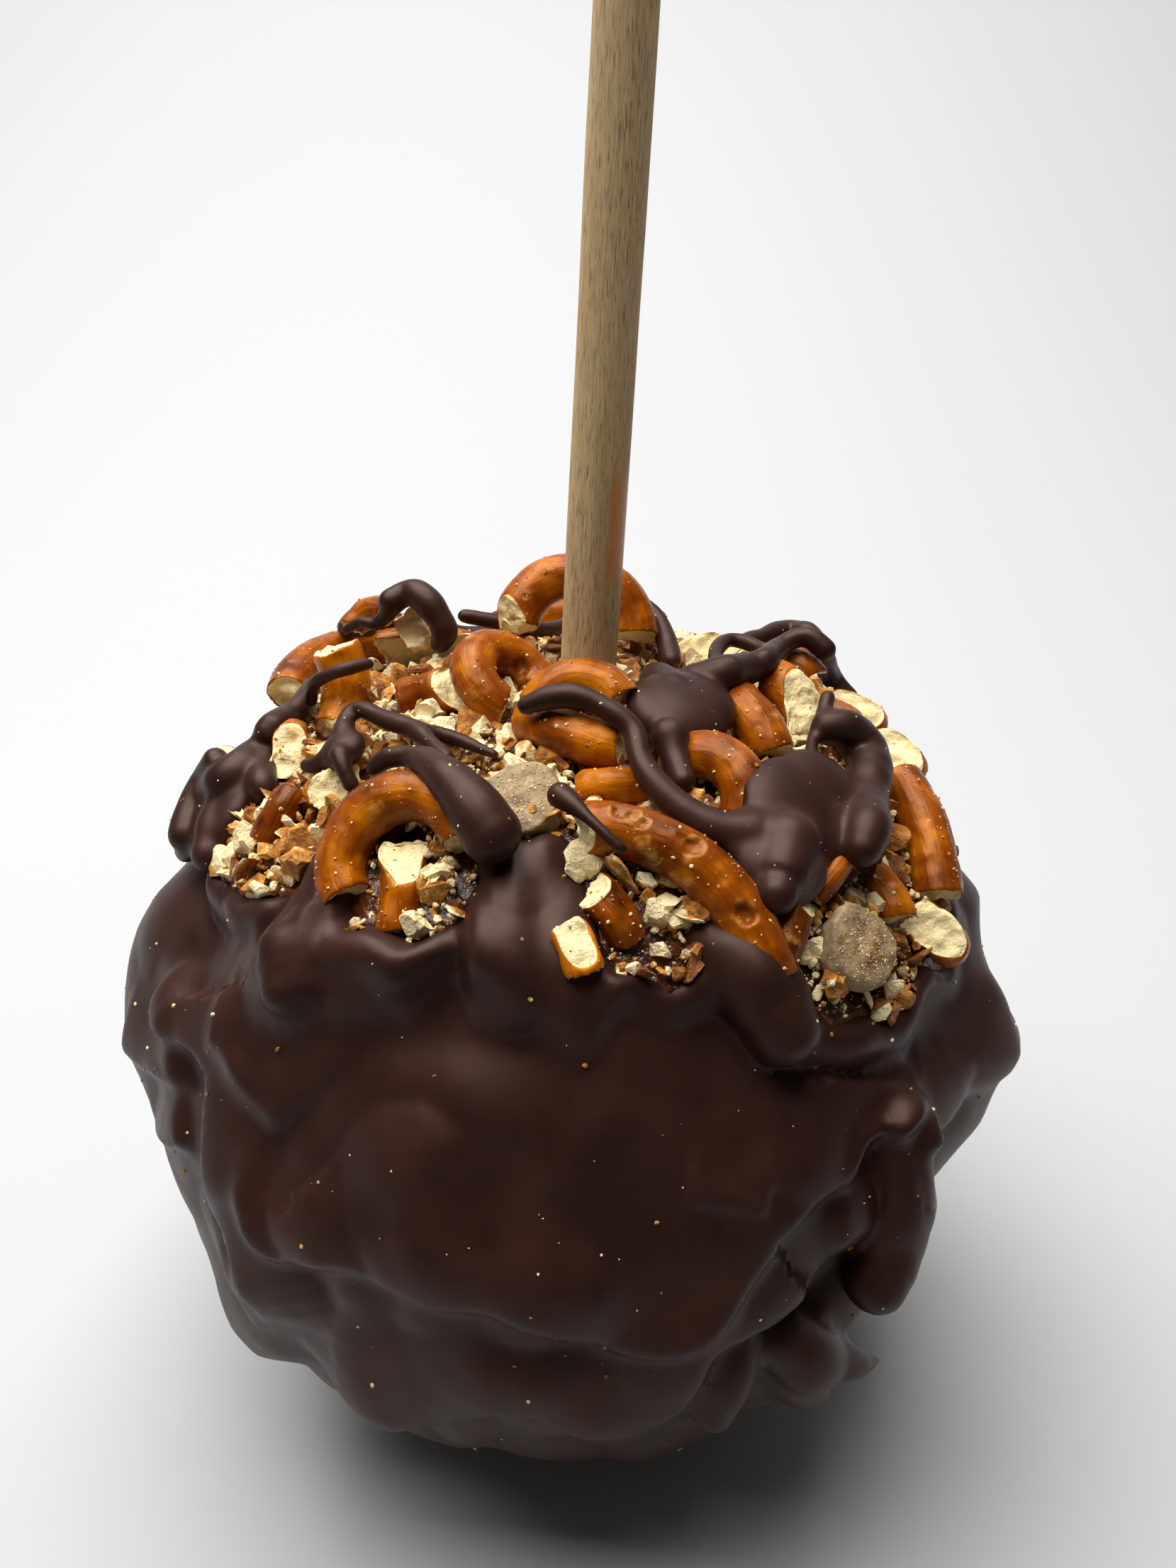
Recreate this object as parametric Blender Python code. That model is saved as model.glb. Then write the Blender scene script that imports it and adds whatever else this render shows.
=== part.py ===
"""Caramel apple on a wooden stick, dipped in dark chocolate and topped with broken pretzels.

Lengths in this file are millimetres; solid() turns them into metres. The origin is the centre of
the flat spot that the apple rests on, +Z is up, and -Y is the side with the long pretzel arc.
An azimuth runs from the front (-Y) towards +X, a latitude from the apple's middle upwards.
"""
import math
import random
from typing import NamedTuple

import bmesh
import bpy
from mathutils import Matrix, Vector, noise

# Driving dimensions, in millimetres and degrees
MM = 0.001
GAP = 0.3
CENTRE = Vector((0.0, 0.0, 43.0))
APPLE_RADIUS = 39.4
APPLE_FLOOR = 4.0
COAT_RADIUS = 44.4
COAT_THINNEST = 1.2
COAT_ROLL = 5.0
COAT_EDGE_SHARE = 0.12
COAT_PLAY = 0.35
BED_RADIUS = 46.6
BED_HEIGHT = 40.4
BED_POWER = 2.3
BED_LIMIT = 45.2
BED_BLEND = 9.0
BED_REACH = 3.0
STICK_DIAMETER = 5.56
STICK_LENGTH = 140.0
STICK_BURIED = 52.0
STICK_LEAN = 3.1
STICK_ENTRY = Vector((1.96, 0.0, 83.8))
STICK_SIDES = 20
STICK_CHAMFER = 0.4
CRUMB_TRIES = 148
CRUMB_LOWEST = 28.0
CRUMB_SIZE = (1.3, 2.3)
CRUMB_CLEAR = 0.1
CRUMB_LIFT = 0.2
COLUMNS = 50
COAT_ROWS = 20
COAT_INNER_ROWS = 6
ROW_CROWDING = 1.12
BED_ROWS = 5
STRAND_SIDES = 7
STRAND_STEP = 3.0
STRAND_END = 0.93
STRAND_CAP = 0.16
ROPE_SIDES = 6
ROPE_STEP = 3.1
ROPE_CAP = 0.9
ROPE_SINK = 0.22
CHIP_SIDES = 12
OUTWARD = Vector((0.0, -0.9063, 0.4226))
UPWARD = Vector((0.0, 0.4226, 0.9063))

# Profile of a chocolate chip from its foot up: distance from the axis and height, as shares of its radius
CHIP_PROFILE = ((0.72, -0.62), (1.0, -0.25), (0.97, 0.12), (0.70, 0.52), (0.34, 0.74))
CHIP_FOOT = -0.62
CHIP_TOP = 0.86

# Edge of the chocolate: latitude by azimuth, with its fingers and dips
RIM = (
    (-180, 40), (-162, 46), (-145, 38), (-128, 45), (-112, 38), (-98, 43), (-84, 39), (-74, 43),
    (-63, 38), (-54, 40), (-50, 43), (-46, 48), (-42, 47), (-38, 43), (-33, 42), (-26, 43),
    (-21, 41), (-16, 44), (-12, 50), (-8, 53), (-1, 53), (3, 48), (7, 40), (14, 39), (20, 40),
    (26, 37), (30, 33), (39, 30), (47, 28), (54, 31), (60, 28), (68, 33), (80, 36), (93, 41),
    (108, 37), (124, 44), (142, 38), (160, 45), (180, 40),
)


class Ridge(NamedTuple):
    """A swelling of the coat along a great-circle stretch; a negative height is a hollow."""

    start: tuple
    end: tuple
    height: float
    width: float


# Each ridge runs from one (azimuth, latitude) to another
RIDGES = (
    Ridge((-46, 44), (-42, 28), 1.6, 3.7),
    Ridge((-8, 48), (0, 30), 1.6, 4.1),
    Ridge((19, 42), (28, 28), 3.6, 3.1),
    Ridge((35, 30), (38, 18), -1.6, 3.2),
    Ridge((60, 30), (66, 20), 1.3, 4.1),
    Ridge((68, 14), (76, 9), 1.6, 3.4),
    Ridge((44, 15), (40, -7), 3.6, 3.4),
    Ridge((34, -5), (29, -9), -4.2, 2.9),
    Ridge((32, -15), (44, -24), 3.2, 2.9),
    Ridge((21, -10), (19, -20), 1.8, 2.9),
    Ridge((-38, 12), (-30, 3), 1.2, 3.6),
    Ridge((-26, 4), (30, 10), 0.9, 4.2),
    Ridge((-30, -20), (10, -12), 1.0, 4.2),
    Ridge((-46, 12), (-40, -6), 1.0, 4.2),
    Ridge((118, 20), (122, -14), 2.4, 5.5),
    Ridge((150, 30), (140, 2), 2.2, 5.1),
    Ridge((172, 8), (166, -24), 2.0, 5.5),
    Ridge((-172, 26), (-158, 6), 2.2, 5.1),
    Ridge((-138, 14), (-130, -20), 2.5, 5.5),
    Ridge((-112, -16), (-118, -40), 3.0, 5.5),
    Ridge((136, -34), (120, -46), 3.5, 5.1),
    Ridge((-160, -40), (-176, -50), 3.0, 5.5),
)

# Radius of the coat where it turns out of sight of the front, by clock angle from the right
OUTLINE = (
    (-90, 44.4), (-45, 44.4), (-25, 45.4), (-20, 46.8), (-12, 45.6), (-5, 46.0), (0, 47.2), (5, 45.6),
    (10, 44.9), (15, 43.4), (20, 41.6), (25, 43.4), (30, 42.8), (35, 43.0), (40, 42.4), (46, 41.4),
    (52, 43.0), (60, 44.6), (65, 43.8), (75, 44.6), (80, 45.4), (90, 43.9), (100, 43.6), (105, 44.7),
    (115, 44.2), (125, 44.8), (130, 44.4), (135, 46.9), (140, 46.9), (145, 46.1), (150, 44.8),
    (155, 44.3), (170, 44.9), (175, 45.5), (180, 47.1), (190, 47.5), (195, 47.7), (200, 47.2),
    (205, 45.6), (220, 44.4), (270, 44.4),
)
OUTLINE_DEPTH = 0.29
OUTLINE_SPREAD = 0.17
COAT_WAVE = 0.7
COAT_WAVE_LENGTH = 11.0


class Piece(NamedTuple):
    """One broken pretzel piece: an arc through three points, its thickness and its raggedness."""

    name: str
    start: tuple
    crown: tuple
    end: tuple
    strand: float
    ragged: float


# Pretzel pieces in the order in which the later ones give way to the earlier ones
PIECES = (
    Piece("pretzel_arc_front", (1.0, -26.6, 80.5), (11.0, -28.9, 78.3), (16.8, -33.6, 70.4), 4.9, 0.05),
    Piece("pretzel_arch_front_left", (-18.3, -27.4, 74.2), (-15.0, -22.4, 81.2), (-7.9, -27.1, 79.4), 4.7, 0.05),
    Piece("pretzel_post_front_left", (-13.7, -24.2, 77.8), (-13.6, -27.0, 76.0), (-13.6, -29.6, 72.5), 4.6, 0.08),
    Piece("pretzel_knot_lower", (-3.2, -11.9, 84.2), (0.9, -16.0, 84.4), (5.4, -17.0, 83.3), 4.4, 0.07),
    Piece("pretzel_knot_upper", (-2.6, -10.2, 84.9), (1.1, -9.4, 87.2), (5.0, -11.4, 85.8), 4.2, 0.07),
    Piece("pretzel_hook_left_of_stick", (-2.6, -4.2, 83.6), (-5.4, -1.6, 86.6), (-6.2, -8.6, 84.2), 4.4, 0.06),
    Piece("pretzel_arch_behind_stick", (-5.3, 5.2, 87.2), (0.0, 9.0, 91.6), (6.8, 6.0, 86.0), 4.8, 0.05),
    Piece("pretzel_bar_back_left", (-20.0, 9.6, 83.0), (-14.4, 9.3, 83.6), (-8.4, 8.2, 82.8), 4.8, 0.07),
    Piece("pretzel_bar_right", (32.2, -7.2, 75.8), (33.6, -13.2, 73.3), (34.2, -18.2, 69.2), 4.9, 0.05),
    Piece("pretzel_strand_right_centre", (11.0, -16.0, 82.3), (14.6, -18.2, 82.6), (15.4, -21.8, 78.9), 4.5, 0.06),
    Piece("pretzel_chunk_left_upright", (-22.9, 0.6, 86.9), (-22.0, -0.6, 83.6), (-22.6, -4.4, 79.6), 5.0, 0.12),
    Piece("pretzel_wedge_left", (-15.4, -3.6, 82.6), (-12.3, -4.4, 84.0), (-8.8, -5.2, 84.8), 4.8, 0.14),
    Piece("pretzel_chunk_right_brown", (14.8, -3.6, 83.4), (17.0, -7.6, 83.2), (19.0, -11.2, 80.4), 4.8, 0.12),
    Piece("pretzel_chunk_right_cream", (19.6, -1.2, 84.0), (22.4, -3.8, 83.0), (24.0, -7.6, 80.6), 5.0, 0.14),
    Piece("pretzel_chunk_under_rope", (21.2, 4.4, 83.2), (22.8, 4.0, 83.9), (24.6, 3.0, 82.8), 4.0, 0.12),
    Piece("pretzel_wedge_gold", (2.2, -19.6, 80.6), (4.2, -20.3, 81.4), (7.0, -19.4, 80.6), 3.6, 0.12),
    Piece("pretzel_chip_by_stick", (7.4, -9.4, 83.0), (7.9, -12.8, 83.2), (8.2, -14.8, 82.2), 3.0, 0.14),
    Piece("pretzel_chunk_below_arc", (2.2, -29.9, 76.2), (3.8, -31.4, 75.9), (5.2, -32.0, 73.6), 4.0, 0.12),
    Piece("pretzel_bulb_at_rim", (0.4, -32.4, 74.4), (1.2, -33.6, 73.4), (1.8, -34.2, 71.8), 3.0, 0.10),
    Piece("pretzel_wedge_right", (19.8, -28.0, 75.3), (19.0, -30.2, 73.4), (17.9, -31.8, 70.9), 3.6, 0.12),
    Piece("pretzel_skin_right", (21.1, -26.8, 74.2), (23.4, -24.9, 76.0), (25.2, -20.7, 77.4), 2.4, 0.06),
    Piece("pretzel_flake_right", (31.2, -21.6, 69.9), (33.2, -22.0, 67.9), (35.0, -20.9, 65.2), 3.8, 0.14),
    Piece("pretzel_chunk_right_gold", (27.2, -20.6, 73.0), (28.6, -21.9, 71.8), (29.4, -23.6, 70.0), 3.2, 0.12),
    Piece("pretzel_chunk_left_bulb", (-22.0, -16.9, 78.5), (-20.8, -16.6, 80.0), (-19.2, -15.4, 80.3), 3.7, 0.10),
    Piece("pretzel_chunk_left_cream", (-26.9, -4.3, 79.6), (-26.4, -7.4, 79.3), (-26.7, -9.9, 77.8), 3.4, 0.14),
    Piece("pretzel_chunk_left_brown", (-25.2, -14.8, 77.9), (-26.0, -16.5, 76.8), (-27.2, -17.5, 74.6), 3.4, 0.12),
    Piece("pretzel_chip_far_left", (-35.0, -2.8, 75.8), (-33.4, -4.4, 76.9), (-32.0, -6.6, 76.4), 2.6, 0.14),
    Piece("pretzel_chip_back_left", (-23.4, 13.0, 84.4), (-21.4, 13.4, 86.2), (-19.2, 12.2, 86.6), 3.4, 0.14),
    Piece("pretzel_chip_in_knot", (-17.2, 8.2, 88.0), (-16.3, 7.8, 86.6), (-15.2, 6.8, 85.0), 2.6, 0.12),
    Piece("pretzel_chips_back_right", (11.4, 8.4, 83.0), (14.4, 9.2, 83.8), (17.8, 8.0, 83.0), 3.4, 0.14),
    Piece("pretzel_hook_right", (25.3, -1.2, 80.6), (27.4, -2.6, 80.6), (26.4, -6.0, 78.8), 3.0, 0.10),
    Piece("pretzel_chip_right_back", (27.6, 3.0, 79.8), (29.0, 1.4, 80.0), (31.2, 1.6, 78.2), 3.2, 0.14),
    Piece("pretzel_chip_right_edge", (31.4, -0.4, 77.2), (32.6, -2.0, 77.2), (34.4, -2.6, 74.8), 3.4, 0.14),
    Piece("pretzel_bar_back", (-8.0, 20.5, 81.6), (1.0, 23.6, 82.6), (9.5, 20.0, 82.0), 4.8, 0.05),
    Piece("pretzel_arch_back_right", (20.5, 15.0, 78.5), (26.5, 20.0, 79.3), (24.0, 27.5, 73.6), 4.7, 0.05),
    Piece("pretzel_arch_back_left", (-30.5, 11.0, 77.8), (-27.0, 20.0, 79.4), (-18.5, 25.5, 77.6), 4.7, 0.05),
    Piece("pretzel_chunk_back", (-4.5, 31.5, 76.2), (-0.5, 33.6, 75.2), (4.0, 32.5, 75.0), 4.6, 0.12),
)


class Chip(NamedTuple):
    """A chocolate chip lying in the crumbs: a squat drop with its flat side down."""

    name: str
    place: tuple
    radius: float


CHIPS = (
    Chip("chocolate_chip_centre", (-3.8, -22.0, 80.0), 3.1),
    Chip("chocolate_chip_right", (24.4, -28.3, 69.9), 3.3),
)


class Rope(NamedTuple):
    """A poured rope of chocolate: points along it as (x, y, z, thickness)."""

    points: tuple


class Drizzle(NamedTuple):
    """Chocolate poured over the topping: ropes that run into each other, with pools and drops."""

    name: str
    ropes: tuple
    blobs: tuple


# A blob is a flattened drop: centre, radius and thickness
DRIZZLES = (
    Drizzle("drizzle_knot", (
        Rope(((-18.3, 9.0, 88.4, 2.8), (-16.3, 8.0, 90.3, 2.9), (-14.3, 6.2, 89.8, 3.0),
              (-12.5, 5.2, 87.2, 3.0), (-13.2, 5.6, 85.4, 2.2))),
        Rope(((-23.6, 9.0, 85.6, 1.2), (-21.4, 8.2, 87.1, 1.4), (-19.9, 7.4, 86.8, 1.4),
              (-18.3, 8.6, 88.0, 2.2))),
    ), ()),
    Drizzle("drizzle_band_left", (
        Rope(((-25.3, -1.8, 82.0, 1.4), (-24.6, -3.4, 84.6, 1.4), (-21.6, -4.6, 86.4, 1.5),
              (-18.9, -3.2, 86.6, 1.3))),
    ), ()),
    Drizzle("drizzle_left_edge", (
        Rope(((-26.4, 4.8, 81.3, 2.0), (-26.6, -0.2, 81.2, 2.2), (-28.4, -2.6, 79.7, 2.5),
              (-30.1, -4.7, 77.6, 2.5), (-32.1, -6.7, 75.9, 2.6), (-35.2, -5.2, 73.1, 2.7),
              (-37.6, -3.6, 70.4, 2.8))),
        Rope(((-29.8, -3.6, 78.6, 2.6), (-29.2, -7.5, 77.7, 2.0), (-28.6, -11.6, 76.7, 2.2))),
    ), ()),
    Drizzle("drizzle_left_swirl", (
        Rope(((-20.0, -14.1, 82.4, 2.6), (-20.4, -11.6, 83.5, 1.7), (-20.0, -9.9, 84.4, 1.5),
              (-18.6, -10.5, 84.7, 1.5), (-17.0, -11.9, 84.5, 1.6), (-15.0, -13.5, 84.5, 1.6),
              (-13.3, -14.9, 84.5, 1.7), (-11.8, -17.5, 84.3, 1.6), (-9.9, -20.6, 84.2, 1.3))),
        Rope(((-13.4, -14.8, 84.5, 1.5), (-10.2, -15.0, 83.9, 1.5), (-7.8, -16.3, 83.4, 1.2),
              (-6.1, -17.0, 83.0, 1.0))),
        Rope(((-20.2, -14.4, 82.0, 2.2), (-19.6, -16.6, 81.4, 1.6), (-18.9, -18.4, 80.6, 1.6))),
        Rope(((-20.6, -14.0, 82.0, 2.4), (-22.6, -14.4, 80.8, 1.8), (-24.0, -13.4, 80.4, 1.4))),
    ), (
        ((-20.2, -14.3, 82.3), 1.9, 2.6),
    )),
    Drizzle("drizzle_fat_drop", (
        Rope(((-16.8, -19.2, 82.6, 1.5), (-15.4, -19.6, 83.9, 1.6), (-13.2, -20.4, 84.4, 1.7),
              (-11.0, -22.4, 84.3, 2.0), (-8.6, -25.4, 83.7, 2.6), (-6.6, -27.6, 82.3, 3.1),
              (-5.3, -28.6, 80.8, 3.2))),
    ), ()),
    Drizzle("drizzle_teardrop", (
        Rope(((-0.2, -26.6, 83.6, 2.0), (1.5, -29.2, 83.2, 1.5), (3.1, -30.6, 82.3, 1.1),
              (4.9, -31.4, 81.0, 1.0))),
    ), ()),
    Drizzle("drizzle_centre_pool", (
        Rope(((-4.0, -15.8, 87.0, 1.4), (-2.6, -16.4, 88.3, 1.6), (-0.4, -17.0, 88.7, 1.8),
              (1.8, -17.9, 88.0, 1.8), (4.5, -18.4, 87.0, 1.7), (6.3, -18.2, 85.3, 1.7),
              (6.9, -19.3, 83.3, 1.7), (8.4, -21.1, 82.4, 1.8), (10.6, -22.6, 81.6, 2.0),
              (13.4, -23.4, 80.6, 2.1), (16.6, -23.8, 79.6, 2.6))),
        Rope(((25.4, -4.6, 81.2, 3.0), (28.4, -5.4, 80.2, 3.8), (29.4, -9.6, 78.6, 4.0),
              (27.6, -15.4, 77.9, 4.0), (25.0, -20.4, 77.0, 3.8))),
        Rope(((25.0, -2.9, 82.3, 1.5), (23.8, -8.4, 82.9, 1.4), (22.5, -12.3, 82.6, 1.3),
              (22.0, -15.6, 81.4, 1.4))),
        Rope(((18.6, -24.2, 78.8, 4.6), (18.6, -27.4, 76.9, 3.6), (18.3, -29.2, 75.4, 2.4))),
    ), (
        ((19.7, -22.3, 79.4), 5.8, 3.8),
        ((22.6, -18.8, 79.8), 4.8, 3.6),
        ((16.8, -21.4, 80.6), 3.4, 2.8),
    )),
    Drizzle("drizzle_round_blob", (
        Rope(((9.6, -19.4, 82.2, 1.8), (10.1, -16.4, 83.6, 2.2), (10.6, -12.4, 84.6, 3.0))),
        Rope(((11.6, -8.0, 84.6, 5.0), (12.0, -3.0, 84.4, 3.6), (9.0, -0.6, 84.4, 2.8))),
        Rope(((11.8, -1.6, 84.4, 3.2), (15.4, -0.6, 84.6, 3.0), (18.4, -0.2, 85.2, 2.2),
              (20.6, 2.4, 86.1, 1.8), (22.5, 3.2, 86.8, 1.8), (24.3, 3.2, 87.0, 1.9),
              (25.9, 2.4, 85.8, 1.8))),
        Rope(((14.6, 0.4, 84.6, 1.8), (14.9, 5.6, 84.9, 1.4), (17.5, 6.6, 86.2, 1.4),
              (20.1, 5.0, 86.4, 1.4), (20.8, 2.8, 86.2, 1.6))),
    ), (
        ((10.8, -10.6, 84.8), 4.4, 5.0),
    )),
    Drizzle("drizzle_back", (
        Rope(((7.6, 10.4, 88.2, 1.8), (9.4, 8.8, 87.0, 2.0), (10.2, 4.8, 85.2, 2.2),
              (10.4, 2.4, 84.6, 2.2))),
    ), ()),
    Drizzle("drizzle_strip_behind", (
        Rope(((-11.4, 12.6, 86.2, 1.6), (-7.6, 12.8, 85.4, 1.8), (-4.2, 13.6, 84.4, 1.8),
              (-0.6, 17.0, 83.4, 2.0), (2.0, 20.6, 85.8, 2.0), (3.6, 25.0, 83.8, 2.2),
              (4.2, 29.6, 79.4, 2.6))),
    ), ()),
    Drizzle("drizzle_back_swirl", (
        Rope(((-22.0, 17.4, 83.0, 1.8), (-25.0, 18.6, 82.8, 2.0), (-24.6, 23.0, 81.6, 2.2),
              (-20.0, 26.4, 80.8, 2.4), (-15.0, 26.0, 79.6, 2.4), (-10.0, 27.6, 78.6, 2.6))),
    ), ()),
    Drizzle("drizzle_back_right", (
        Rope(((17.0, 12.4, 82.4, 2.0), (21.0, 17.0, 82.2, 2.2), (25.6, 21.6, 81.4, 2.4),
              (28.6, 22.0, 77.4, 2.6), (32.0, 20.6, 73.4, 2.8))),
    ), ()),
)

# Colours as linear RGB, roughness
CHOCOLATE = ((0.030, 0.016, 0.011), 0.38)
CARAMEL = ((0.33, 0.13, 0.035), 0.30)
PRETZEL = ((0.42, 0.16, 0.035), 0.42)
CHIP = ((0.20, 0.13, 0.07), 0.65)
WOOD = ((0.42, 0.29, 0.16), 0.75)


def smooth_step(value):
    """Ease from 0 to 1 as value runs from 0 to 1."""
    value = min(max(value, 0.0), 1.0)
    return value * value * (3.0 - 2.0 * value)


def read_table(table, at):
    """Value of a table of (angle, value) rows at an angle, eased between its rows."""
    for (left, low), (right, high) in zip(table, table[1:]):
        if left <= at <= right:
            return low + (high - low) * smooth_step((at - left) / (right - left))
    return table[0][1]


def direction(azimuth, latitude):
    """Unit vector at an azimuth and a latitude, both in degrees."""
    turn = math.radians(azimuth)
    rise = math.radians(latitude)
    return Vector((math.cos(rise) * math.sin(turn), -math.cos(rise) * math.cos(turn), math.sin(rise)))


def rim_latitude(azimuth):
    """Latitude of the chocolate's edge at an azimuth."""
    return read_table(RIM, (azimuth + 180.0) % 360.0 - 180.0)


def bed_radius(latitude):
    """Distance from the apple's middle to the crumb bed, without its crumbs."""
    rise = math.radians(max(latitude, 0.0))
    across = (math.cos(rise) / BED_RADIUS) ** BED_POWER
    up = (math.sin(rise) / BED_HEIGHT) ** BED_POWER
    return min((across + up) ** (-1.0 / BED_POWER), BED_LIMIT)


def core_radius(azimuth, latitude):
    """Radius of the caramel-covered apple, which swells into the bed above the chocolate's edge."""
    blend = smooth_step((latitude - rim_latitude(azimuth) + BED_BLEND + BED_REACH) / BED_BLEND)
    return APPLE_RADIUS + (bed_radius(latitude) - APPLE_RADIUS) * blend


def ridge_height(ridge, ray):
    """Height that one ridge adds along a ray from the apple's middle."""
    start = direction(*ridge.start)
    end = direction(*ridge.end)
    along = end - start
    share = min(max((ray - start).dot(along) / along.length_squared, 0.0), 1.0)
    away = (ray - (start + along * share)).length * COAT_RADIUS
    return ridge.height * math.exp(-0.5 * (away / ridge.width) ** 2)


def outline_height(ray):
    """Height that the coat's measured outline adds near where it turns out of sight."""
    clock = math.degrees(math.atan2(-ray.dot(UPWARD), ray.x))
    clock = (clock + 90.0) % 360.0 - 90.0
    depth = (ray.dot(OUTWARD) - OUTLINE_DEPTH) / OUTLINE_SPREAD
    return (read_table(OUTLINE, clock) - COAT_RADIUS) * math.exp(-0.5 * depth * depth)


def coat_radius(ray):
    """Outer radius of the chocolate along a ray, with its lumps, folds and hollows."""
    lumps = outline_height(ray) + sum(ridge_height(ridge, ray) for ridge in RIDGES)
    wave = noise.noise(ray * (COAT_RADIUS / COAT_WAVE_LENGTH))
    return COAT_RADIUS + lumps + COAT_WAVE * wave


def material(name, finish):
    """Principled material of one colour and roughness."""
    colour, roughness = finish
    made = bpy.data.materials.new(name)
    made.use_nodes = True
    shader = made.node_tree.nodes["Principled BSDF"]
    shader.inputs["Base Color"].default_value = (*colour, 1.0)
    shader.inputs["Roughness"].default_value = roughness
    return made


def solid(name, points, faces):
    """Mesh object from points in millimetres, its faces turned outwards."""
    mesh = bpy.data.meshes.new(name)
    mesh.from_pydata([tuple(Vector(point) * MM) for point in points], [], faces)
    made = bpy.data.objects.new(name, mesh)
    bpy.context.scene.collection.objects.link(made)
    shape = bmesh.new()
    shape.from_mesh(mesh)
    bmesh.ops.recalc_face_normals(shape, faces=shape.faces)
    shape.to_mesh(mesh)
    shape.free()
    return made


def remove(thing):
    """Delete an object and its mesh."""
    mesh = thing.data
    bpy.data.objects.remove(thing)
    bpy.data.meshes.remove(mesh)


def largest_body(thing):
    """Keep the biggest connected body of a mesh and drop loose scraps."""
    shape = bmesh.new()
    shape.from_mesh(thing.data)
    unseen = set(shape.verts)
    bodies = []
    while unseen:
        stack = [unseen.pop()]
        body = set(stack)
        while stack:
            for edge in stack.pop().link_edges:
                for other in edge.verts:
                    if other not in body:
                        body.add(other)
                        unseen.discard(other)
                        stack.append(other)
        bodies.append(body)
    keep = max(bodies, key=len)
    loose = [vertex for body in bodies if body is not keep for vertex in body]
    bmesh.ops.delete(shape, geom=loose, context="VERTS")
    bmesh.ops.dissolve_degenerate(shape, dist=1e-6, edges=shape.edges)
    bmesh.ops.triangulate(shape, faces=shape.faces)
    shape.to_mesh(thing.data)
    shape.free()


def combine(thing, others, operation):
    """Apply one Boolean with a collection of other objects, and remove them."""
    if not others:
        return
    group = bpy.data.collections.new("operands")
    bpy.context.scene.collection.children.link(group)
    for other in others:
        group.objects.link(other)
    change = thing.modifiers.new("change", "BOOLEAN")
    change.operand_type = "COLLECTION"
    change.collection = group
    change.solver = "MANIFOLD"
    change.operation = operation
    bpy.context.view_layer.update()
    result = bpy.data.meshes.new_from_object(thing.evaluated_get(bpy.context.evaluated_depsgraph_get()))
    thing.modifiers.clear()
    old = thing.data
    thing.data = result
    bpy.data.meshes.remove(old)
    result.name = thing.name
    for other in others:
        remove(other)
    bpy.data.collections.remove(group)
    largest_body(thing)


def arc_through(start, crown, end, count):
    """Points evenly along the circle arc through three points."""
    start, crown, end = Vector(start), Vector(crown), Vector(end)
    first = crown - start
    second = end - start
    normal = first.cross(second)
    if normal.length < 0.5:
        return [start.lerp(end, step / (count - 1)) for step in range(count)]
    centre = start + (first.length_squared * second.cross(normal)
                      + second.length_squared * normal.cross(first)) / (2.0 * normal.length_squared)
    normal.normalize()
    across = (start - centre).normalized()
    ahead = normal.cross(across)
    spoke = end - centre
    sweep = math.atan2(spoke.dot(ahead), spoke.dot(across)) % math.tau
    radius = (start - centre).length
    points = []
    for step in range(count):
        turn = sweep * step / (count - 1)
        points.append(centre + radius * (across * math.cos(turn) + ahead * math.sin(turn)))
    return points


def curve_through(points, count):
    """Points and thicknesses along a smooth curve through (x, y, z, thickness) points."""
    rows = [Vector(point) for point in points]
    rows = [rows[0] * 2.0 - rows[1]] + rows + [rows[-1] * 2.0 - rows[-2]]
    places = []
    for step in range(count):
        at = step / (count - 1) * (len(points) - 1)
        index = min(int(at), len(points) - 2)
        t = at - index
        a, b, c, d = rows[index:index + 4]
        places.append(0.5 * (2.0 * b + (c - a) * t + (2.0 * a - 5.0 * b + 4.0 * c - d) * t * t
                             + (3.0 * b - a - 3.0 * c + d) * t ** 3))
    return [place.to_3d() for place in places], [place[3] for place in places]


def tube(name, line, thicknesses, sides, cap, ragged, seed, grow=0.0):
    """Closed tube along a line. cap is how far its rounded ends stand out, as a share of its radius."""
    draw = random.Random(seed)
    frame_up = Vector((0.0, 0.0, 1.0))
    points = []
    faces = []
    rings = []
    last = len(line) - 1
    stations = [(0, -cap * 0.8, 0.62)] if cap > 0.3 else []
    stations += [(index, 0.0, 1.0) for index in range(len(line))]
    stations += [(last, cap * 0.8, 0.62)] if cap > 0.3 else []
    for index, shift, scale in stations:
        ahead = (line[min(index + 1, last)] - line[max(index - 1, 0)]).normalized()
        side = ahead.cross(frame_up).normalized()
        if side.length < 0.5:
            side = Vector((1.0, 0.0, 0.0))
        up = side.cross(ahead).normalized()
        frame_up = up
        radius = thicknesses[index] / 2.0
        middle = line[index] + ahead * (shift * radius + math.copysign(grow, shift) * (shift != 0.0))
        ring = []
        for corner in range(sides):
            turn = math.tau * corner / sides
            rough = 1.0 + ragged * draw.uniform(-1.0, 1.0)
            reach = radius * scale * rough + grow
            ring.append(len(points))
            points.append(middle + (side * math.cos(turn) + up * math.sin(turn)) * reach)
        rings.append(ring)
    for first, second in zip(rings, rings[1:]):
        for corner in range(sides):
            after = (corner + 1) % sides
            faces.append((first[corner], first[after], second[after], second[corner]))
    for ring, index, sign in ((rings[0], 0, -1.0), (rings[-1], last, 1.0)):
        ahead = (line[min(index + 1, last)] - line[max(index - 1, 0)]).normalized()
        reach = cap * thicknesses[index] / 2.0 + grow
        points.append(line[index] + ahead * sign * max(reach, 0.05))
        tip = len(points) - 1
        for corner in range(sides):
            faces.append((tip, ring[corner], ring[(corner + 1) % sides]))
    return solid(name, points, faces)


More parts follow.
